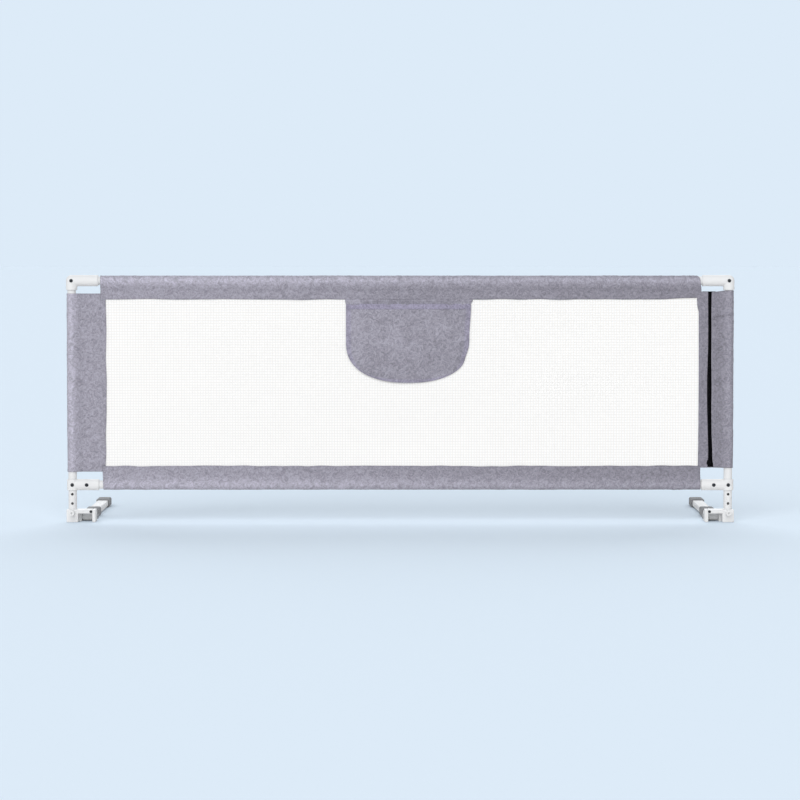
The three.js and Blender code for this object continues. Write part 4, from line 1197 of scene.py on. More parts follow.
nylon, tree, shader = finish("black_nylon", (0.003, 0.003, 0.004), 0.5, Specular_IOR_Level=0.05)
nylon_noise = speckle(tree, 1100.0, 2.0)
tint(tree, shader, nylon_noise, (0.0015, 0.0015, 0.002), (0.004, 0.004, 0.005))
bump(tree, shader, nylon_noise, 0.03 * MM)

# %% Tapes and teeth
TOOTH_PITCH = 1.45 * MM
TOOTH_SIDES = 6
TAPE_STEP = 2.0 * MM
TAPE_THICKNESS = 0.45 * MM
chain_low, chain_high = corners_of("zip_chain")
chain_shift = 0.6 * ZIP_SHIFT * X_AXIS
chain_x = middle_of("zip_chain")[0] + chain_shift[0]


def tape_surface(low, high, seed):
    """A flat ribbon from one corner to the other, in the panel's plane, with a shallow wave."""
    across = np.linspace(low[0], high[0], 9)[:, None]
    up = np.linspace(low[2], high[2], int((high[2] - low[2]) / TAPE_STEP))[None, :]
    wave = 0.05 * MM * soft_waves(up, across, 20 * MM, 90 * MM, seed)
    return np.stack(np.broadcast_arrays(across, panel_y + wave, up), -1)


for node, seed in (("zip_tape_inner", 101), ("zip_tape_outer", 102)):
    ribbon = tape_surface(low_of(node), high_of(node), seed)
    tape = grid_sheet(node + "_ribbon", ribbon)
    thicken(tape, TAPE_THICKNESS)
    dress(tape, tape_finish, stands_for=[node])


def tooth_shape():
    """One tooth: rings that swell to a rounded head at the far end."""
    stations = np.array([-1.3, -0.9, 0.2, 1.0, 1.35]) * MM
    widths = np.array([0.45, 0.55, 0.48, 0.72, 0.45]) * MM
    depths = np.array([0.55, 0.85, 0.80, 0.95, 0.55]) * MM
    return bead(TOOTH_SIDES, stations, widths, depths, [(-1.4 * MM, 0, 0), (1.5 * MM, 0, 0)])


def tooth_places(side, shift):
    """Teeth of one row: they point to the middle, and the two rows are half a pitch apart."""
    up = np.arange(chain_low[2] + 3.4 * MM + shift, chain_high[2] - 3.2 * MM, TOOTH_PITCH)
    centre = np.stack([chain_x + side * 0.85 * MM + 0 * up, chain_low[1] + 1.0 * MM + 0 * up, up], 1)
    along = np.broadcast_to(-side * X_AXIS, centre.shape)
    return centre, along, to_front(centre)


teeth = copies("zip_teeth", tooth_shape(), [tooth_places(-1, 0), tooth_places(1, TOOTH_PITCH / 2)])
dress(teeth, nylon, stands_for=["zip_chain"])

# %% [markdown]
# ## Moulded shapes
# The plastic fittings are unions of simple bodies with soft inside corners, as a mould leaves them. Such a shape
# is easiest as a distance: a function that says how far each place lies outside the surface, or, with a minus
# sign, inside. A union is the smaller of two distances, a cut is the larger of one and the other reversed, and
# softening that choice rounds the corner. The surface is read off on a grid, and its points are moved onto it.

# %% Distances
def within(out, off, edge):
    """Distance to what lies inside two limits. Past both it is the slanting distance, so the corner is round."""
    p, q = out + edge, off + edge
    return np.minimum(np.maximum(p, q), 0) + np.hypot(np.maximum(p, 0), np.maximum(q, 0)) - edge


def slab(outline, along, half, edge):
    """Distance to a flat outline with a thickness, whose rims are rounded."""
    return within(outline, np.abs(along) - half, edge)


def cylinder(across, upward, along, radius, half, edge):
    """Distance to a round bar with rounded rims: a circle's outline, which is the length less the radius."""
    return slab(np.hypot(across, upward) - radius, along, half, edge)


def rectangle(across, upward, low_1, high_1, low_2, high_2, corner):
    """Distance to a rectangle with round corners, from its sides."""
    p = np.abs(across - (low_1 + high_1) / 2) - (high_1 - low_1) / 2
    q = np.abs(upward - (low_2 + high_2) / 2) - (high_2 - low_2) / 2
    return within(p, q, corner)


def block(p, q, r, low, high, edge):
    """Distance to a box with rounded edges, between two corners."""
    ranges = [np.abs(value - (a + b) / 2) - (b - a) / 2 + edge for value, a, b in zip((p, q, r), low, high)]
    outside = np.sqrt(sum(np.maximum(part, 0) ** 2 for part in ranges))
    return outside + np.minimum(np.maximum.reduce(ranges), 0) - edge


def union(first, second, soft):
    """The smaller distance, with the corner between the two filled over a width."""
    share = np.clip(0.5 + 0.5 * (second - first) / np.maximum(soft, 1e-9), 0, 1)
    return second * (1 - share) + first * share - soft * share * (1 - share)


def cut(whole, hole, soft):
    """The whole without the hole, its rim softened over a width."""
    return -union(-whole, hole, soft)


def surface_net(field, low, high, step):
    """Reads a surface off a distance field. Each small cube that the surface crosses gets one point, the mean of
    the crossings on its edges, and each crossed edge is a face between its four cubes. Newton steps, the distance
    over its slope, then move the points onto the surface."""
    axes = [np.arange(a - 1.5 * step, b + 2.5 * step, step) for a, b in zip(low, high)]
    grid = np.stack(np.meshgrid(*axes, indexing="ij"), -1)
    value = field(grid[..., 0], grid[..., 1], grid[..., 2])
    cells = np.array(value.shape) - 1
    total = np.zeros((cells.prod(), 3))
    hits = np.zeros(cells.prod())
    quads = []
    for axis in range(3):
        beyond = np.roll(value, -1, axis)
        crossed = (value < 0) != (beyond < 0)
        f, s = value[crossed], beyond[crossed]
        crossing = grid[crossed] + np.eye(3)[axis] * (step * f / (f - s))[:, None]
        ring = []
        for shift_1, shift_2 in ((0, 0), (-1, 0), (-1, -1), (0, -1)):
            cell = np.argwhere(crossed) + np.roll((0, shift_1, shift_2), axis)
            number = np.ravel_multi_index(cell.T, cells)
            for k in range(3):
                total[:, k] += np.bincount(number, crossing[:, k], len(total))
            hits += np.bincount(number, minlength=len(total))
            ring.append(number)
        ring = np.stack(ring, 1)
        quads.append(np.where((f < 0)[:, None], ring, ring[:, ::-1]))
    used = hits > 0
    renumber = np.cumsum(used) - 1
    points = total[used] / hits[used, None]
    reach = 0.02 * step
    for _ in range(4):
        here = field(*points.T)
        slope = np.stack([field(*(points + reach * way).T) - field(*(points - reach * way).T)
                          for way in np.eye(3)], 1) / (2 * reach)
        size = np.maximum((slope ** 2).sum(1), 0.05)
        move = slope * (here / size)[:, None]
        points -= np.clip(move, -0.5 * step, 0.5 * step)
    return points, renumber[np.concatenate(quads)]


# %% [markdown]
# ## White paint and white plastic
# The tubes carry a powder coat: satin, with the faint waviness of orange peel. The fittings are moulded from a
# slightly softer white plastic with a fine spark-eroded grain. Both vary a little in shade. The screws, springs,
# grips and buttons get their own finishes here too, each from one or two noises.

# %% Finishes of the frame
WHITE_SHADES = (0.74, 0.75, 0.765), (0.79, 0.80, 0.81)
paint, tree, shader = finish("white_powder_coat", (0.76, 0.77, 0.78), 0.58, Specular_IOR_Level=0.2)
tint(tree, shader, speckle(tree, 12.0, 3.0), *WHITE_SHADES)
bump(tree, shader, speckle(tree, 420.0, 1.0), 0.06 * MM)

plastic, tree, shader = finish("white_moulded_plastic", (0.77, 0.78, 0.79), 0.6, Specular_IOR_Level=0.2)
flow = speckle(tree, 30.0, 4.0, Distortion=1.2)
tint(tree, shader, flow, *WHITE_SHADES)
tree.links.new(calc(tree, "MULTIPLY_ADD", flow, 0.16, 0.48), shader.inputs["Roughness"])
# the mould's halves part in the panel's plane, and leave a fine raised line there
plastic_place = add(tree, "TexCoord").outputs["Object"]
plastic_y = add(tree, "SeparateXYZ", {"Vector": plastic_place}).outputs["Y"]
off_line = calc(tree, "ABSOLUTE", calc(tree, "SUBTRACT", plastic_y, float(panel_y)))
parting = calc(tree, "LESS_THAN", off_line, 0.14 * MM)
raised = calc(tree, "MULTIPLY_ADD", parting, 2.0, speckle(tree, 2400.0, 2.0))
bump(tree, shader, raised, 0.04 * MM)

steel, tree, shader = finish("dark_screw_steel", (0.035, 0.036, 0.040), 0.42, Metallic=0.85)
steel_noise = speckle(tree, 900.0, 4.0)
tint(tree, shader, steel_noise, (0.022, 0.022, 0.025), (0.060, 0.062, 0.068))
tree.links.new(calc(tree, "MULTIPLY_ADD", steel_noise, 0.3, 0.28), shader.inputs["Roughness"])
bump(tree, shader, steel_noise, 0.02 * MM)

bright, tree, shader = finish("bright_spring_steel", (0.56, 0.57, 0.59), 0.3, Metallic=1.0)
drawn = speckle(tree, 700.0, 3.0)
tint(tree, shader, drawn, (0.48, 0.49, 0.51), (0.62, 0.63, 0.65))
bump(tree, shader, drawn, 0.015 * MM)

rubber, tree, shader = finish("grey_rubber", (0.270, 0.276, 0.290), 0.82)
tint(tree, shader, speckle(tree, 70.0, 4.0), (0.235, 0.240, 0.252), (0.315, 0.320, 0.335))
bump(tree, shader, speckle(tree, 1300.0, 3.0), 0.07 * MM)

button_plastic, tree, shader = finish("grey_button_plastic", (0.30, 0.31, 0.33), 0.5)
button_grain = speckle(tree, 2200.0, 2.0)
tint(tree, shader, button_grain, (0.27, 0.28, 0.30), (0.33, 0.34, 0.36))
bump(tree, shader, button_grain, 0.05 * MM)

# %% [markdown]
# ## Tubes
# A tube is a closed section carried round a closed path: along the outside, over the end, and back in the bore.
# The same function makes the round posts and rails, the rectangular arms and the ribbed rubber grips.

# %% Tubes
ROUND_STEPS = 64
CORNER_STEPS = 9
TUBE_WALL = 1.2 * MM
TUBE_RIM = 0.3 * MM
JOINER_RIM = 0.4 * MM
SIDES = (("left", -1), ("right", 1))
LEVELS = (("top", top_rail_z), ("bottom", bottom_rail_z))


def round_path():
    """Directions round a circle, and no straight part."""
    angle = np.arange(ROUND_STEPS) / ROUND_STEPS * TURN
    return np.zeros((ROUND_STEPS, 2)), np.stack([np.cos(angle), np.sin(angle)], 1)


def box_path(half_1, half_2):
    """Round a rectangle: the four corner points, and at each the directions of a quarter turn."""
    signs = np.array([(1, 1), (-1, 1), (-1, -1), (1, -1)])
    angle = np.linspace(0, np.pi / 2, CORNER_STEPS)
    angle = (angle[None] + np.arange(4)[:, None] * np.pi / 2).reshape(-1)
    hearts = np.repeat(signs * (half_1, half_2), CORNER_STEPS, axis=0)
    return hearts, np.stack([np.cos(angle), np.sin(angle)], 1)


def sweep(section, path):
    """Carries a closed section of radius and distance round a path. A point is the path's corner, plus the radius
    in the path's direction, with the distance along the tube's axis as its third number."""
    hearts, ways = path
    flat = hearts[None] + section[:, :1, None] * ways[None]
    along = np.broadcast_to(section[:, 1][:, None], flat.shape[:2])
    return np.concatenate([flat, along[..., None]], -1)


def wall_section(radius, start, stop, edge):
    """A tube's wall in side view, with small rounded rims: outside, end, bore and the other end."""
    angle = np.linspace(0, np.pi / 2, 4)
    round_out = np.stack([np.sin(angle), np.cos(angle)], 1) * edge
    outer_stop = np.array([radius - edge, stop - edge]) + round_out[::-1]
    inner_stop = np.array([radius - TUBE_WALL + edge, stop - edge]) + round_out * (-1, 1)
    inner_start = np.array([radius - TUBE_WALL + edge, start + edge]) - round_out[::-1]
    outer_start = np.array([radius - edge, start + edge]) + round_out * (1, -1)
    straight = np.linspace(start + edge, stop - edge, 4)[1:-1]
    outside = np.stack([np.full(2, radius), straight], 1)
    inside = outside[::-1] - (TUBE_WALL, 0)
    return np.concatenate([outer_start, outside, outer_stop, inner_stop, inside, inner_start])


def wrapped(points):
    """A grid that closes both ways, as one list of points with its faces."""
    return points.reshape(-1, 3), grid_faces(*points.shape[:2], wrap_rows=True, wrap_columns=True)


def frame_tube(node, axis, radius, edge, place):
    """A round tube as long as its node is along an axis, 0 for X and 2 for Z, laid down by place."""
    section = wall_section(radius, low_of(node)[axis], high_of(node)[axis], edge)
    points, faces = wrapped(place(sweep(section, round_path())))
    return fill_closed(node + "_tube", points, faces)


def upright(x):
    """Stands a sweep up in the panel's plane: its length becomes z."""
    return lambda p: np.stack([x + p[..., 0], panel_y + p[..., 1], p[..., 2]], -1)


def lying(z):
    """Lays a sweep level in the panel's plane: its length becomes x."""
    return lambda p: np.stack([p[..., 2], panel_y + p[..., 0], z + p[..., 1]], -1)


HEIGHT_HOLES = np.array([21.0, 42.0, 63.0]) * MM
HEIGHT_HOLE_RADIUS = 3.0 * MM
DRILL_REACH = 20.0 * MM


def drill(piece, places, radius):
    """Cuts round holes through a tube's front wall by an exact difference, and keeps only the result."""
    angle = np.arange(32) / 32 * TURN
    ring = np.stack([radius * np.cos(angle), 0 * angle, radius * np.sin(angle)], 1)
    drills = []
    for place in places:
        rings = np.stack([ring + place - DRILL_REACH * Y_AXIS, ring + place])
        drills.append(np.concatenate([rings.reshape(-1, 3), [place - DRILL_REACH * Y_AXIS, place]]))
    faces = repeated(capped(2, 32), len(places), len(drills[0]))
    cutter = fill_closed("drill", np.concatenate(drills), *faces)
    holes = piece.modifiers.new("holes", "BOOLEAN")
    holes.object, holes.operation, holes.solver = cutter, "DIFFERENCE", "EXACT"
    whole = piece.evaluated_get(bpy.context.evaluated_depsgraph_get())
    drilled = bpy.data.meshes.new_from_object(whole)
    piece.modifiers.clear()
    piece.data = drilled
    bpy.data.objects.remove(cutter)
    drilled.set_sharp_from_angle(angle=math.radians(40))


for side, sign in SIDES:
    for level, height in LEVELS:
        node = f"{side}_{level}_rail"
        rail = frame_tube(node, 0, tube_radius, TUBE_RIM, lying(height))
        dress(rail, paint, stands_for=[node])
    node = f"{side}_post"
    post = frame_tube(node, 2, tube_radius, TUBE_RIM, upright(sign * post_x))
    drill(post, [np.array([sign * post_x, panel_y, height]) for height in HEIGHT_HOLES], HEIGHT_HOLE_RADIUS)
    dress(post, paint, stands_for=[node])

for level, height in LEVELS:
    node = f"{level}_rail_joiner"
    joiner_radius = (high_of(node) - low_of(node))[2] / 2
    joiner = frame_tube(node, 0, joiner_radius, JOINER_RIM, lying(height))
    dress(joiner, bright, stands_for=[node])

# %% [markdown]
# ## Elbows and tees
# From here on a part is worked out once, on the left, in its own measures: u is the distance inwards from the
# post, y the depth behind the panel's plane, and z the height. The right side is the mirror image. Each corner
# fitting is a collar on the post and a socket for the rail, with a rounded inside corner, bored for both tubes.
# A distance field rounds that corner and bores the tubes in one go, which joined meshes would not.

# %% Elbows and tees
SLIDE = 0.3 * MM
MOULD_EDGE = 0.9 * MM
MOUTH_EDGE = 0.5 * MM
socket_radius = high_of("left_elbow")[2] - top_rail_z
channel = tube_radius + SLIDE
socket_floor = socket_radius + 1.5 * MM
PAST_MOUTH = 3 * MM
HEAD_SEAT, SHANK_HOLE = 4.3 * MM, 2.2 * MM
FITTING_STEP = 0.8 * MM


def near(part):
    """The box of a left part in the left side's own measures."""
    shift = np.array([post_x, -panel_y, 0])
    return low_of("left_" + part) + shift, high_of("left_" + part) + shift


def heart(part):
    """The middle of that box."""
    low, high = near(part)
    return (low + high) / 2


def both_sides(part, shape, material, body="panel", kind="moulding"):
    """Sets a shape on both sides, and the right one is its mirror image."""
    points, *face_sets = shape
    made = []
    for side, sign in SIDES:
        laid = np.stack([sign * (post_x - points[:, 0]), panel_y + points[:, 1], points[:, 2]], 1)
        piece = fill_closed(f"{side}_{part}_{kind}", laid, *face_sets)
        made.append(dress(piece, material, body.format(side=side), [f"{side}_{part}"]))
    return made


def fitting(u, y, rise, below, above, reach, soft):
    """Collar and socket of one radius, so the rounding between them fades where they run into each other."""
    collar = cylinder(u, y, rise - (above + below) / 2, socket_radius, (above - below) / 2, MOULD_EDGE)
    socket = cylinder(y, rise, u - reach / 2, socket_radius, reach / 2, MOULD_EDGE)
    return union(collar, socket, soft * (1 - ease(np.abs(y), 0.45 * socket_radius, 0.95 * socket_radius)))


def bored(body, u, y, rise, below, above, reach, seats):
    """The body with a bore for each tube, and a seat and a hole for each screw."""
    post_bore = cylinder(u, y, rise - (above + below) / 2, channel, (above - below) / 2, 0.2 * MM)
    rail_bore = cylinder(y, rise, u - (reach + socket_floor) / 2, channel, (reach - socket_floor) / 2, 0.2 * MM)
    body = cut(cut(body, post_bore, MOUTH_EDGE), rail_bore, MOUTH_EDGE)
    for seat in seats:
        recess = cylinder(u - seat, rise, y + socket_radius, HEAD_SEAT, 0.9 * MM, 0.15 * MM)
        shank = cylinder(u - seat, rise, y + socket_radius / 2, SHANK_HOLE, socket_radius / 2, 0.1 * MM)
        body = cut(cut(body, recess, 0.3 * MM), shank, 0.1 * MM)
    return body


elbow_low, elbow_high = near("elbow")
tee_low, tee_high = near("tee")
rail_screw_u = heart("tee_rail_screw")[0]
post_top = near("post")[1][2] + SLIDE - top_rail_z


def elbow_field(u, y, z):
    """A collar below the rail's height, a socket and a ball where they meet, as one body, and bored."""
    rise = z - top_rail_z
    drop = elbow_low[2] - top_rail_z
    ball = np.sqrt(u ** 2 + y ** 2 + rise ** 2) - socket_radius
    body = np.minimum(ball, fitting(u, y, rise, drop, 0.0, elbow_high[0], 3 * MM))
    return bored(body, u, y, rise, drop - PAST_MOUTH, post_top, elbow_high[0] + PAST_MOUTH, [0.0])


def tee_field(u, y, z):
    """A collar as far above as below the rail's height, and a socket, bored."""
    rise = z - bottom_rail_z
    half = (tee_high[2] - tee_low[2]) / 2
    body = fitting(u, y, rise, -half, half, tee_high[0], 1.5 * MM)
    above, reach = half + PAST_MOUTH, tee_high[0] + PAST_MOUTH
    return bored(body, u, y, rise, -above, above, reach, [0.0, rail_screw_u])


def mould(part, field, step, body="panel"):
    """A plastic moulding on both sides, read off its field within its part's box."""
    both_sides(part, surface_net(field, *near(part), step), plastic, body)


mould("elbow", elbow_field, FITTING_STEP)
mould("tee", tee_field, FITTING_STEP)

# %% [markdown]
# ## Screws
# A pan head with a cross recess that narrows with its depth, on a shank with a thread. The thread is a ridge that
# follows a cosine of the length along the screw, shifted by the angle round it, and so it winds.

# %% Screws
SCREW_THREAD = 1.1 * MM
LARGE_HEAD = 3.5 * MM


def screw_field(size, height, shank, length):
    """The distance to a screw that points along +Y, with the underside of its head at zero."""
    def field(u, y, z):
        """A domed head cut by two crossed slots, and a rod whose radius the thread's ridge raises."""
        out = np.hypot(u, z)
        crown = ((out / size) ** 2.6 + (np.maximum(-y, 0) / height) ** 2.6) ** (1 / 2.6) - 1
        head = np.maximum(crown * height, y)
        depth = np.clip((y + height) / (0.75 * height), 0, 1)
        wide, narrow = (0.60 - 0.30 * depth) * size, (0.13 - 0.04 * depth) * size
        arm_1 = np.maximum(np.abs(u) - wide, np.abs(z) - narrow)
        arm_2 = np.maximum(np.abs(z) - wide, np.abs(u) - narrow)
        cross = np.maximum(np.minimum(arm_1, arm_2), y + 0.25 * height)
        ridge = 0.16 * MM * np.cos((y + SCREW_THREAD * np.arctan2(z, u) / TURN) * TURN / SCREW_THREAD)
        rod = np.maximum(out - shank + 0.2 * MM - ridge * (y > 1 * MM), np.maximum(y - length, -0.5 * height - y))
        return np.minimum(cut(head, cross, 0.12 * MM), rod)
    return field


def screws(part, step):
    """A screw for a part: its head's size, its length and its place come from the part's box."""
    low, high = near(part)
    centre = (low + high) / 2
    size = (high[0] - low[0]) / 2
    height, shank = (0.4 * size, 0.475 * size) if size > LARGE_HEAD else (0.56 * size, 0.5 * size)
    under = low[1] + height
    field = screw_field(size, height, shank, high[1] - under)
    box_low, box_high = np.array([-size, -height, -size]), np.array([size, high[1] - under, size])
    points, faces = surface_net(field, box_low, box_high, step)
    return points + (centre[0], under, centre[2]), faces


for part in ("elbow_screw", "tee_post_screw", "tee_rail_screw"):
    both_sides(part, screws(part, 0.28 * MM), steel, kind="cross_head")
both_sides("ear_screw", screws("ear_screw", 0.26 * MM), steel, "{side}_bracket", "cross_head")

# %% [markdown]
# ## Foot brackets
# The bracket is a collar that slides on the post, a bridge over the arm and an ear for the hinge pin. The ear
# plate closes the hinge on the other side. Both outlines are drawn in side view and given a thickness, because
# the hinge is round only there.

# %% Foot brackets
bracket_low, bracket_high = near("bracket")
ear_low, ear_high = near("ear_plate")
knuckle_low, knuckle_high = near("knuckle")
_, pivot_y, pivot_z = heart("hinge_pin")
EAR_RADIUS = 10.0 * MM
EAR_THICKNESS = 15.5 * MM
BRIDGE_UNDER = 19.5 * MM
BOSS_RADIUS, SPRING_ROOM, KNOB_HOLE = 6.5 * MM, 4.4 * MM, 2.7 * MM
PIN_HOLE, BUTTON_HOLE = 3.3 * MM, 5.9 * MM
EAR_SCREW_HOLE = 1.9 * MM
MOULD_STEP = 0.75 * MM
ear_back = pivot_y - EAR_RADIUS
arm_near, arm_far = knuckle_low[0], knuckle_high[0]
collar_half, boss_front = -bracket_low[:2]
plunger_z = heart("plunger")[2]
ear_screw_u, _, ear_screw_z = heart("ear_screw")


def about_pin(u, y, z, middle, radius, half):
    """Distance to a bar on the hinge's axis, with its middle at a distance inwards."""
    return cylinder(y - pivot_y, z - pivot_z, u - middle, radius, half, 0.1 * MM)


def about_plunger(u, y, z, middle, radius, half, edge=0.1 * MM):
    """Distance to a bar on the plunger's axis, with its middle at a distance in front of the panel's plane."""
    return cylinder(u, z - plunger_z, y + middle, radius, half, edge)


def screw_hole(u, y, z, half):
    """Distance to the hole of the ear plate's screw, which is centred on the bracket's front."""
    return cylinder(u - ear_screw_u, z - ear_screw_z, y + collar_half, EAR_SCREW_HOLE, half, 0.1 * MM)


def tongue(u, y, z, grown):
    """The tongue of the ear plate, and with a clearance its pocket in the bridge."""
    low = (ear_low[0] - grown, -5 * MM - grown, 21.5 * MM - grown)
    high = (arm_far + 3 * MM, 9 * MM + grown, 26.5 * MM + grown)
    return block(u, y, z, low, high, 0.4 * MM)


def bracket_field(u, y, z):
    """Collar, bridge, ear and the plunger's boss as one body, less the bores for the post, the plunger and its
    spring, the hinge pin, the tongue and the screw."""
    top = bracket_high[2]
    collar = block(u, y, z, (-collar_half, -collar_half, 0), (collar_half, collar_half, top), 1.6 * MM)
    bridge = block(u, y, z, (0, -collar_half, BRIDGE_UNDER), (arm_far, ear_back, top), 1.6 * MM)
    boss = about_plunger(u, y, z, boss_front / 2, BOSS_RADIUS, boss_front / 2, MOULD_EDGE)
    ear_near = arm_near - EAR_THICKNESS
    web = rectangle(y, z, collar_half - 4 * MM, pivot_y, 0, BRIDGE_UNDER, 0.2 * MM)
    side_view = np.minimum(np.hypot(y - pivot_y, z - pivot_z) - EAR_RADIUS, web)
    ear = slab(side_view, u - (ear_near + arm_near - SLIDE) / 2, (arm_near - SLIDE - ear_near) / 2, MOULD_EDGE)
    inside = ease(z, 1 * MM, 5 * MM)
    body = union(union(np.minimum(collar, bridge), ear, 2 * MM * inside), boss, 1.6 * MM)
    body = cut(body, cylinder(u, y, z - top / 2, channel, top, 0.1 * MM), 0.6 * MM)
    room_front = boss_front - 2 * MM
    body = cut(body, about_plunger(u, y, z, room_front / 2, SPRING_ROOM, room_front / 2), 0.1 * MM)
    body = cut(body, about_plunger(u, y, z, boss_front, KNOB_HOLE, 4 * MM), 0.3 * MM)
    body = cut(body, about_pin(u, y, z, arm_near, PIN_HOLE, 20 * MM), 0.3 * MM)
    body = cut(body, tongue(u, y, z, SLIDE), 0.1 * MM)
    return cut(body, screw_hole(u, y, z, 9 * MM), 0.2 * MM)


def ear_plate_field(u, y, z):
    """A plate in side view, a disc round the pin joined to a web that rises to the bridge, with its tongue."""
    web = rectangle(y, z, ear_low[1], pivot_y, 0, BRIDGE_UNDER, 2 * MM)
    rise = rectangle(y, z, ear_low[1], ear_back, 1 * MM, ear_high[2], 2 * MM)
    disc = np.hypot(y - pivot_y, z - pivot_z) - EAR_RADIUS
    web = np.maximum(union(web, rise, 5 * MM * ease(y, 0, 10 * MM)), -z)
    side_view = np.minimum(web, disc)
    middle = (arm_far + SLIDE + ear_high[0]) / 2
    plate = slab(side_view, u - middle, ear_high[0] - middle, 1.2 * MM)
    body = np.minimum(plate, tongue(u, y, z, 0))
    body = cut(body, about_pin(u, y, z, middle, BUTTON_HOLE, 9 * MM), 0.5 * MM)
    return cut(body, screw_hole(u, y, z, 20 * MM), 0.1 * MM)


mould("bracket", bracket_field, MOULD_STEP, "{side}_bracket")
mould("ear_plate", ear_plate_field, MOULD_STEP, "{side}_bracket")

# %% [markdown]
# ## Turned parts
# A profile of radius and distance, spun round an axis and closed at both poles, gives the knob, the pin, the
# button and the plug. The knob's grip is fluted: its radius drops by a cosine as the angle goes round. The springs
# are wires that climb round an axis.

# %% Turned parts
def turned(profile, steps=64, flutes=0, depth=0.0, span=(0.0, 0.0)):
    """Spins a profile whose first and last radius are zero. Flutes cut into the radius within a span."""
    profile = np.asarray(profile, float) * MM
    angle = np.arange(steps) / steps * TURN
    radius, along = profile[1:-1].T
    inside = (along > span[0] * MM) & (along < span[1] * MM)
    groove = (0.5 + 0.5 * np.cos(angle * flutes)) ** 3 * depth * MM * inside[:, None]
    spun = radius[:, None] - groove
    rings = np.stack([spun * np.cos(angle), spun * np.sin(angle), along[:, None] + 0 * angle], -1)
    poles = np.array([(0, 0, profile[0, 1]), (0, 0, profile[-1, 1])])
    return np.concatenate([rings.reshape(-1, 3), poles]), *capped(len(radius), steps)


def rounded(points, edge):
    """A profile whose corners are rounded: each becomes a soft curve between two points at a distance from it."""
    points = np.asarray(points, float)
    line = [points[0]]
    for before, corner, after in zip(points[:-2], points[1:-1], points[2:]):
        back, on = before - corner, after - corner
        reach = min(edge, 0.45 * np.hypot(*back), 0.45 * np.hypot(*on))
        start, end = corner + back / np.hypot(*back) * reach, corner + on / np.hypot(*on) * reach
        t = np.linspace(0, 1, 5)[:, None]
        line.append((1 - t) ** 2 * start + 2 * t * (1 - t) * corner + t ** 2 * end)
    return np.concatenate([line[0][None], *line[1:], points[-1:]])


def along_y(shape, u, z):
    """Turns a shape's axis to the back, and moves it inwards and up."""
    points, *faces = shape
    return points[:, [0, 2, 1]] + (u, 0, z), *faces


def along_u(shape, y, z):
    """Turns a shape's axis inwards, and moves it back and up."""
    points, *faces = shape
    return points[:, [2, 0, 1]] + (0, y, z), *faces


knob_profile = [(0, -24.3), (2.2, -24.3), (2.2, -27.0), (3.0, -27.3), (5.6, -27.3), (6.0, -26.6), (6.0, -20.0),
                (5.6, -19.3), (2.4, -19.3), (2.4, -12.0), (4.1, -12.0), (4.1, -9.8), (0, -9.8)]
knob = turned(rounded(knob_profile, 0.5), flutes=12, depth=0.7, span=(-26.7, -20.2), steps=96)
both_sides("plunger", along_y(knob, 0, plunger_z), plastic, "{side}_plunger", "knob")

pin_profile = [(0, 1.5), (4.4, 1.5), (5.0, 2.1), (5.0, 3.7), (3.0, 3.7), (3.0, 28.8), (2.3, 29.5), (0, 29.5)]
both_sides("hinge_pin", along_u(turned(rounded(pin_profile, 0.3), 48), pivot_y, pivot_z), bright,
           "{side}_bracket", "turned")

button_profile = [(0, 41.3), (6.3, 41.3), (6.6, 41.7), (6.6, 44.5), (5.6, 44.5), (5.6, 54.3), (5.0, 55.0),
                  (4.3, 55.0), (2.2, 54.5), (0, 54.4)]
both_sides("fold_button", along_u(turned(rounded(button_profile, 0.4)), pivot_y, pivot_z), button_plastic,
           "{side}_fold_button", "turned")

plug_profile = [(0, 1.0), (9.0, 1.0), (9.5, 1.4), (9.5, 2.7), (8.0, 2.7), (8.0, 5.0), (7.7, 5.4), (7.7, 8.0),
                (8.0, 8.4), (8.0, 11.0), (7.7, 11.4), (7.7, 13.6), (7.2, 15.0), (0, 15.0)]
both_sides("post_plug", turned(rounded(plug_profile, 0.3)), plastic, kind="turned")

WIRE_SIDES, COIL_STEPS = 10, 36


def helix(coil, wire, start, length, turns):
    """A wire wound round an axis: its centre goes round at one radius and climbs evenly, in rings of points."""
    angle = np.linspace(0, turns * TURN, turns * COIL_STEPS + 1)
    share = np.linspace(0, 1, len(angle))
    climb = start + wire + (length - 2 * wire) * share
    around = np.arange(WIRE_SIDES) / WIRE_SIDES * TURN
    out = coil + wire * np.cos(around)[None, :]
    rings = np.stack([out * np.cos(angle)[:, None], out * np.sin(angle)[:, None],
                      climb[:, None] + wire * np.sin(around)[None, :]], -1)
    centres = np.stack([coil * np.cos(angle), coil * np.sin(angle), climb], 1)[[0, -1]]
    return np.concatenate([rings.reshape(-1, 3), centres]), *capped(len(angle), WIRE_SIDES)


def wind(part, axis, lay, coil, wire, turns, body):
    """A spring on each side, along X or Y, as long as its part's box, each with a mesh of its own."""
    low, high = near(part)
    length = (high - low) @ axis
    shape = lay(helix(coil, wire, low @ axis, length, turns))
    for (side, sign), spring in zip(SIDES, both_sides(part, shape, bright, body, "coil")):
        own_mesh(spring)


wind("plunger_spring", Y_AXIS, lambda coil: along_y(coil, 0, plunger_z), 3.2 * MM, 0.3 * MM, 3, "{side}_bracket")
wind("fold_spring", X_AXIS, lambda coil: along_u(coil, pivot_y, pivot_z), 5.0 * MM, 0.4 * MM, 4, "{side}_arm")

# %% [markdown]
# ## Base arms
# Each arm is a flat rectangular tube on a moulded knuckle that turns on the hinge pin. Two ribbed rubber grips
# hold it under the mattress, and a cap closes its end. Tube and grips are sweeps round the same kind of path, and
# the ribs are a cosine in the section's radius, so that they are real shape.

# %% Base arms
arm_low, arm_high = near("arm_tube")
arm_u, _, arm_z = heart("arm_tube")
arm_half_u, _, arm_half_z = (arm_high - arm_low) / 2
ARM_CORNER = 2.5 * MM
KNUCKLE_RADIUS = 9 * MM
BUTTON_ROOM = 6.9 * MM
BUTTON_REACH = 39.8 * MM


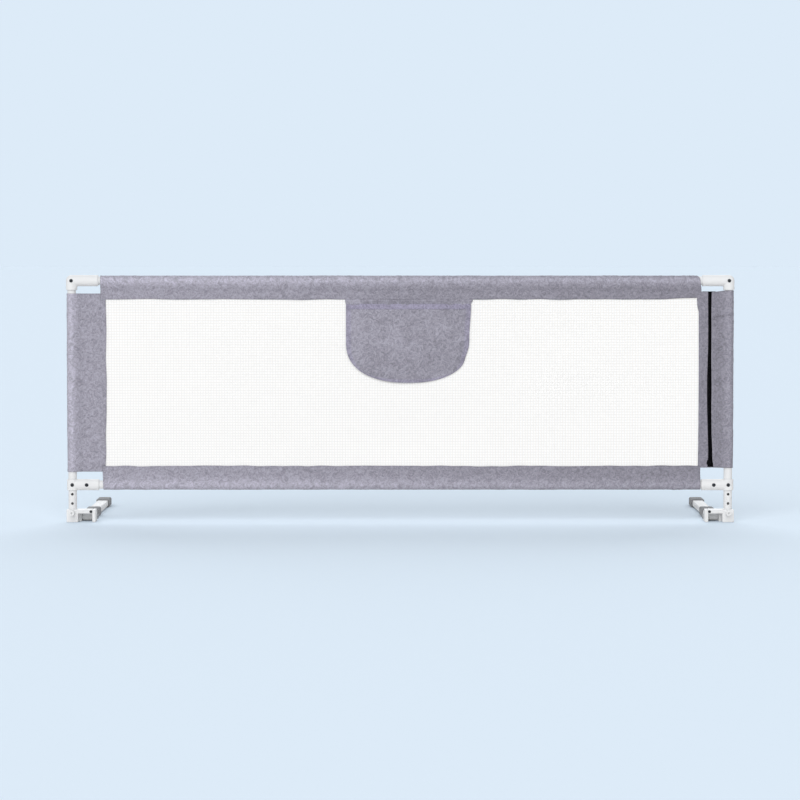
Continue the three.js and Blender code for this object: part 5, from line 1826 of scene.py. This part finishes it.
def along_arm(points):
    """A sweep's numbers laid along the arm: its own axis runs to the back."""
    return np.stack([arm_u + points[..., 0], points[..., 2], arm_z + points[..., 1]], -1)


arm_path = box_path(arm_half_u - ARM_CORNER, arm_half_z - ARM_CORNER)
arm_section = wall_section(ARM_CORNER, arm_low[1], arm_high[1], 0.25 * MM)
arm_shape = wrapped(along_arm(sweep(arm_section, arm_path)))
both_sides("arm_tube", arm_shape, paint, "{side}_arm", "tube")


def arm_plug(u, y, z, start, stop, edge):
    """Distance to the block of a fitting that fills the arm's bore, from one depth to another."""
    low = (arm_u - 11 * MM, start, arm_z - 5.5 * MM)
    return block(u, y, z, low, (arm_u + 11 * MM, stop, arm_z + 5.5 * MM), edge)


def knuckle_field(u, y, z):
    """A round head on the pin joined to a neck as deep as the arm, with a plug, less two bores about the pin."""
    middle, half = (arm_near + arm_far) / 2, (arm_far - arm_near) / 2
    head = np.hypot(y - pivot_y, z - pivot_z) - KNUCKLE_RADIUS
    neck = rectangle(y, z, pivot_y, arm_low[1] - SLIDE, arm_z - arm_half_z, arm_z + arm_half_z, 0.2 * MM)
    body = slab(union(head, neck, 3 * MM), u - middle, half, 0.8 * MM)
    body = np.minimum(body, arm_plug(u, y, z, arm_low[1] - 3 * MM, knuckle_high[1], 1.2 * MM))
    body = cut(body, about_pin(u, y, z, arm_near, PIN_HOLE, 20 * MM), 0.3 * MM)
    return cut(body, about_pin(u, y, z, BUTTON_REACH, BUTTON_ROOM, 10 * MM), 0.3 * MM)


def end_cap_field(u, y, z):
    """A plate with the arm's outline, a little larger, and a plug in the arm's bore."""
    low, high = near("arm_end_cap")
    outline = rectangle(u, z, low[0], high[0], low[2], high[2], 2.6 * MM)
    cap_start = arm_high[1] + SLIDE
    cap = slab(outline, y - (cap_start + high[1]) / 2, (high[1] - cap_start) / 2, 1.3 * MM)
    return np.minimum(cap, arm_plug(u, y, z, low[1], cap_start + 3 * MM, 1.0 * MM))


mould("knuckle", knuckle_field, MOULD_STEP, "{side}_arm")
mould("arm_end_cap", end_cap_field, MOULD_STEP, "{side}_arm")

RIB_PITCH = 5.0 * MM
RIB_DEPTH = 0.9 * MM
GRIP_CORNER = 4.0 * MM
GRIP_RIM = 1.0 * MM


def grip_section(start, stop):
    """Outside with rounded ribs, round the rim, and back along the smooth inside."""
    along = np.linspace(start + GRIP_RIM, stop - GRIP_RIM, 133)
    end_share = ease(np.minimum(along - start, stop - along), 1.5 * MM, 4 * MM)
    groove = (0.5 + 0.5 * np.cos((along - start) / RIB_PITCH * TURN)) ** 2 * RIB_DEPTH * end_share
    outside = np.stack([GRIP_CORNER - groove, along], 1)
    angle = np.linspace(0, np.pi / 2, 6)[1:]
    rim = np.stack([GRIP_CORNER - GRIP_RIM + GRIP_RIM * np.cos(angle), GRIP_RIM * np.sin(angle)], 1)
    inner = GRIP_CORNER - 2.7 * MM
    far = rim + (0, stop - GRIP_RIM)
    close = (rim * (1, -1) + (0, start + GRIP_RIM))[::-1]
    return np.concatenate([outside, far, [(inner + 0.3 * MM, stop), (inner, stop - 0.3 * MM)],
                           [(inner, start + 0.3 * MM), (inner + 0.3 * MM, start)], close])


for part in ("inner_grip", "outer_grip"):
    low, high = near(part)
    grip_path = box_path((high[0] - low[0]) / 2 - GRIP_CORNER, (high[2] - low[2]) / 2 - GRIP_CORNER)
    points = along_arm(sweep(grip_section(low[1], high[1]), grip_path))
    both_sides(part, wrapped(points), rubber, "{side}_arm", "ribbed")

# %% [markdown]
# ## The zip's slider and end stops
# The slider is a shield-shaped plate, narrow above and pointed below, with a guide wall down each side of the
# teeth and a low bridge. It rests at the bottom of the zip and rides on its own body.

# %% Slider and end stops
slider_low, slider_high = low_of("zip_slider") + chain_shift, high_of("zip_slider") + chain_shift
slider_z = (slider_low[2] + slider_high[2]) / 2
slider_half = (slider_high[2] - slider_low[2]) / 2
STOP_HALF = np.array([3.0, 1.0, 1.5]) * MM
ZIP_STEP = 0.3 * MM


def slider_field(x, y, z):
    """A plate whose half width tapers up and down, two walls behind it, and a bridge with an eye in front."""
    across, rise = x - chain_x, z - slider_z
    below = np.clip((-1.5 * MM - rise) / (4.5 * MM), 0, 1)
    taper = 5.0 - 1.5 * ease(rise, -1 * MM, 6 * MM) - 3.6 * below ** 1.7
    outline = np.maximum(np.abs(across) - taper * MM, np.abs(rise) - slider_half)
    front = panel_y - 4.5 * MM
    plate = slab(outline, y - front - 0.8 * MM, 0.8 * MM, 0.5 * MM)
    wall_in = np.maximum(2.5 * MM - np.abs(across), np.abs(across) - 3.8 * MM)
    walls = np.maximum(np.maximum(wall_in, outline), np.abs(y - front - 1.7 * MM) - 1.7 * MM)
    low, high = (-1.5 * MM, front - 2.6 * MM, -3.5 * MM), (1.5 * MM, front + 0.5 * MM, 3.5 * MM)
    crown = block(across, y, rise, low, high, 1.0 * MM)
    eye = block(across, y, rise, (-5 * MM, front - 1.6 * MM, -2.5 * MM), (5 * MM, front, 2.5 * MM), 0.6 * MM)
    return np.minimum(union(plate, cut(crown, eye, 0.2 * MM), 0.6 * MM), walls)


slider = fill_closed("zip_slider_body", *surface_net(slider_field, slider_low, slider_high, ZIP_STEP))
dress(slider, nylon, "zip_slider", ["zip_slider"])


def stops_field(x, y, z):
    """Two small rounded blocks, one at each end of the teeth: the nearer one counts."""
    middle = chain_low[1] + STOP_HALF[1]
    ends = np.minimum(np.abs(z - chain_low[2] - STOP_HALF[2]), np.abs(z - chain_high[2] + STOP_HALF[2]))
    return block(x - chain_x, y - middle, ends, -STOP_HALF, STOP_HALF, 0.6 * MM)


for place, height in (("bottom", chain_low[2]), ("top", chain_high[2] - 2 * STOP_HALF[2])):
    low = np.array([chain_x - STOP_HALF[0], chain_low[1], height])
    stop = fill_closed(f"zip_{place}_stop", *surface_net(stops_field, low, low + 2 * STOP_HALF, ZIP_STEP))
    dress(stop, nylon)
